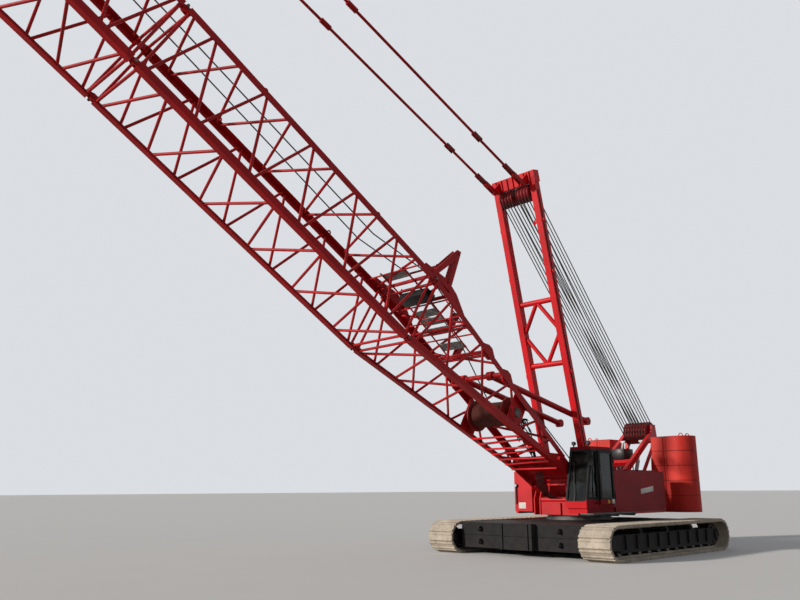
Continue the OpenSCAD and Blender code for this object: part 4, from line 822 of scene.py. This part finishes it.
bm = bmesh.new()
for x, half, z in (((0.545, 0.785), 0.12, (0, 0.10)), ((0.575, 0.755), 0.10, (0.10, 0.20)),
                   ((0.545, 0.785), 0.12, (0.20, 0.229)), ((0.488, 0.560), 0.05, (0.206, 0.224)),
                   ((0.488, 0.504), 0.05, (0.206, 0.52))):
    block(bm, *seat_box(x, half, z))
piece("seat_base", bm, "upperworks", trim, bevel=0.004)
bm = bmesh.new()
block(bm, *seat_box((1.09, 1.24), 0.15, (0, 0.20)))
block(bm, *seat_box((1.11, 1.22), 0.14, (0.20, 0.33)))
for y in (SEAT_Y - 0.06, SEAT_Y + 0.06):
    bar(bm, [(1.10, y, SEAT_FLOOR + 0.20), (1.06, y, SEAT_FLOOR + 0.36)], 0.008, 10)
piece("cab_console", bm, "upperworks", trim, bevel=0.004)


def apply(o, name):
    with bpy.context.temp_override(object=o, active_object=o, selected_objects=[o]):
        bpy.ops.object.modifier_apply(modifier=name)


def cushion(name, low, high, swell=0.010, frames=20):
    """A crowned cushion: a rounded box, blown up by a short cloth pass."""
    bm = bmesh.new()
    block(bm, low, high)
    bmesh.ops.recalc_face_normals(bm, faces=bm.faces)
    mesh = bpy.data.meshes.new(name)
    bm.to_mesh(mesh)
    bm.free()
    mesh.materials.append(cloth.mat)
    o = bpy.data.objects.new(name, mesh)
    bpy.context.scene.collection.objects.link(o)
    edge = o.modifiers.new("edge", "BEVEL")
    edge.width, edge.segments, edge.profile, edge.limit_method = 0.012, 3, 0.5, "NONE"
    grid = o.modifiers.new("grid", "REMESH")
    grid.mode, grid.voxel_size, grid.use_smooth_shade = "VOXEL", 0.006, True
    bpy.context.view_layer.objects.active = o
    for step in ("edge", "grid"):
        apply(o, step)
    before = [v.co.copy() for v in o.data.vertices]
    blow = o.modifiers.new("blow", "CLOTH")
    blow.settings.use_pressure, blow.settings.uniform_pressure_force = True, 4.0
    blow.settings.effector_weights.gravity = 0.0
    blow.settings.quality = 6
    blow.point_cache.frame_start, blow.point_cache.frame_end = 1, frames
    for f in range(1, frames + 1):
        bpy.context.scene.frame_set(f)
    apply(o, "blow")
    for v, rest in zip(o.data.vertices, before):
        moved = v.co - rest
        if moved.length > swell:
            v.co = rest + moved.normalized() * swell
    bpy.context.scene.frame_set(1)
    soft = o.modifiers.new("soft", "SUBSURF")
    soft.levels = soft.render_levels = 1
    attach(o, "upperworks")
    return o


seat = cushion("seat_cushion", *seat_box((0.535, 0.795), 0.125, (0.232, 0.280)))
back = cushion("seat_back", *seat_box((0.505, 0.550), 0.12, (0.29, 0.63)))
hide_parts("cab_seat")

# Stage: a floor and a backdrop that show pale, and light matt faces less
floor_finish = Finish("pale_floor", (0.80, 0.80, 0.79), 0.9)
pale = floor_finish.mix(floor_finish.noise(0.8), (0.78, 0.78, 0.77), (0.82, 0.82, 0.81))
floor_finish.set(Base_Color=floor_finish.mix(floor_finish.seen_plainly(), (0.30, 0.27, 0.23), pale))
bm = bmesh.new()
bmesh.ops.create_grid(bm, x_segments=1, y_segments=1, size=400)
floor = piece("floor", bm, None, floor_finish)

scene = bpy.context.scene
scene.view_settings.view_transform = "Standard"
scene.world = bpy.data.worlds.new("studio")
scene.world.use_nodes = True
sky = Net(scene.world.node_tree)
backdrop = sky.tree.nodes["Background"].inputs
sky.feed(backdrop["Color"], (0.86, 0.89, 0.93))
sky.feed(backdrop["Strength"], sky.seen_plainly().step(0.0, 1.0, 0.22, 0.82))


def sun(name, direction, strength, angle, color):
    light = bpy.data.lights.new(name, "SUN")
    light.energy, light.angle, light.color = strength, math.radians(angle), color
    o = bpy.data.objects.new(name, light)
    o.rotation_mode = "QUATERNION"
    o.rotation_quaternion = Vector(direction).to_track_quat("-Z", "Y")
    scene.collection.objects.link(o)


sun("key", (-0.86, 0.38, -0.29), 3.2, 5, (1.0, 0.94, 0.87))
sun("fill", (-0.3, -0.9, -0.3), 0.12, 40, (0.92, 0.95, 1.0))

# The photograph's camera
yaw, pitch, roll = (math.radians(v) for v in (-134.409, 13.641, -0.351))
ahead = Vector((math.cos(pitch) * math.cos(yaw), math.cos(pitch) * math.sin(yaw), math.sin(pitch)))
right = Vector((math.sin(yaw), -math.cos(yaw), 0))
up = right.cross(ahead)
right, up = (right * math.cos(roll) + up * math.sin(roll),
             up * math.cos(roll) - right * math.sin(roll))
data = bpy.data.cameras.new("camera")
data.sensor_width, data.lens = 36, 35.286
data.clip_start, data.clip_end = 0.1, 2000
camera = bpy.data.objects.new("camera", data)
turn = Matrix((right, up, -ahead)).transposed().to_4x4()
camera.matrix_world = Matrix.Translation((13.957, 9.156, 1.1885)) @ turn
scene.collection.objects.link(camera)
scene.camera = camera
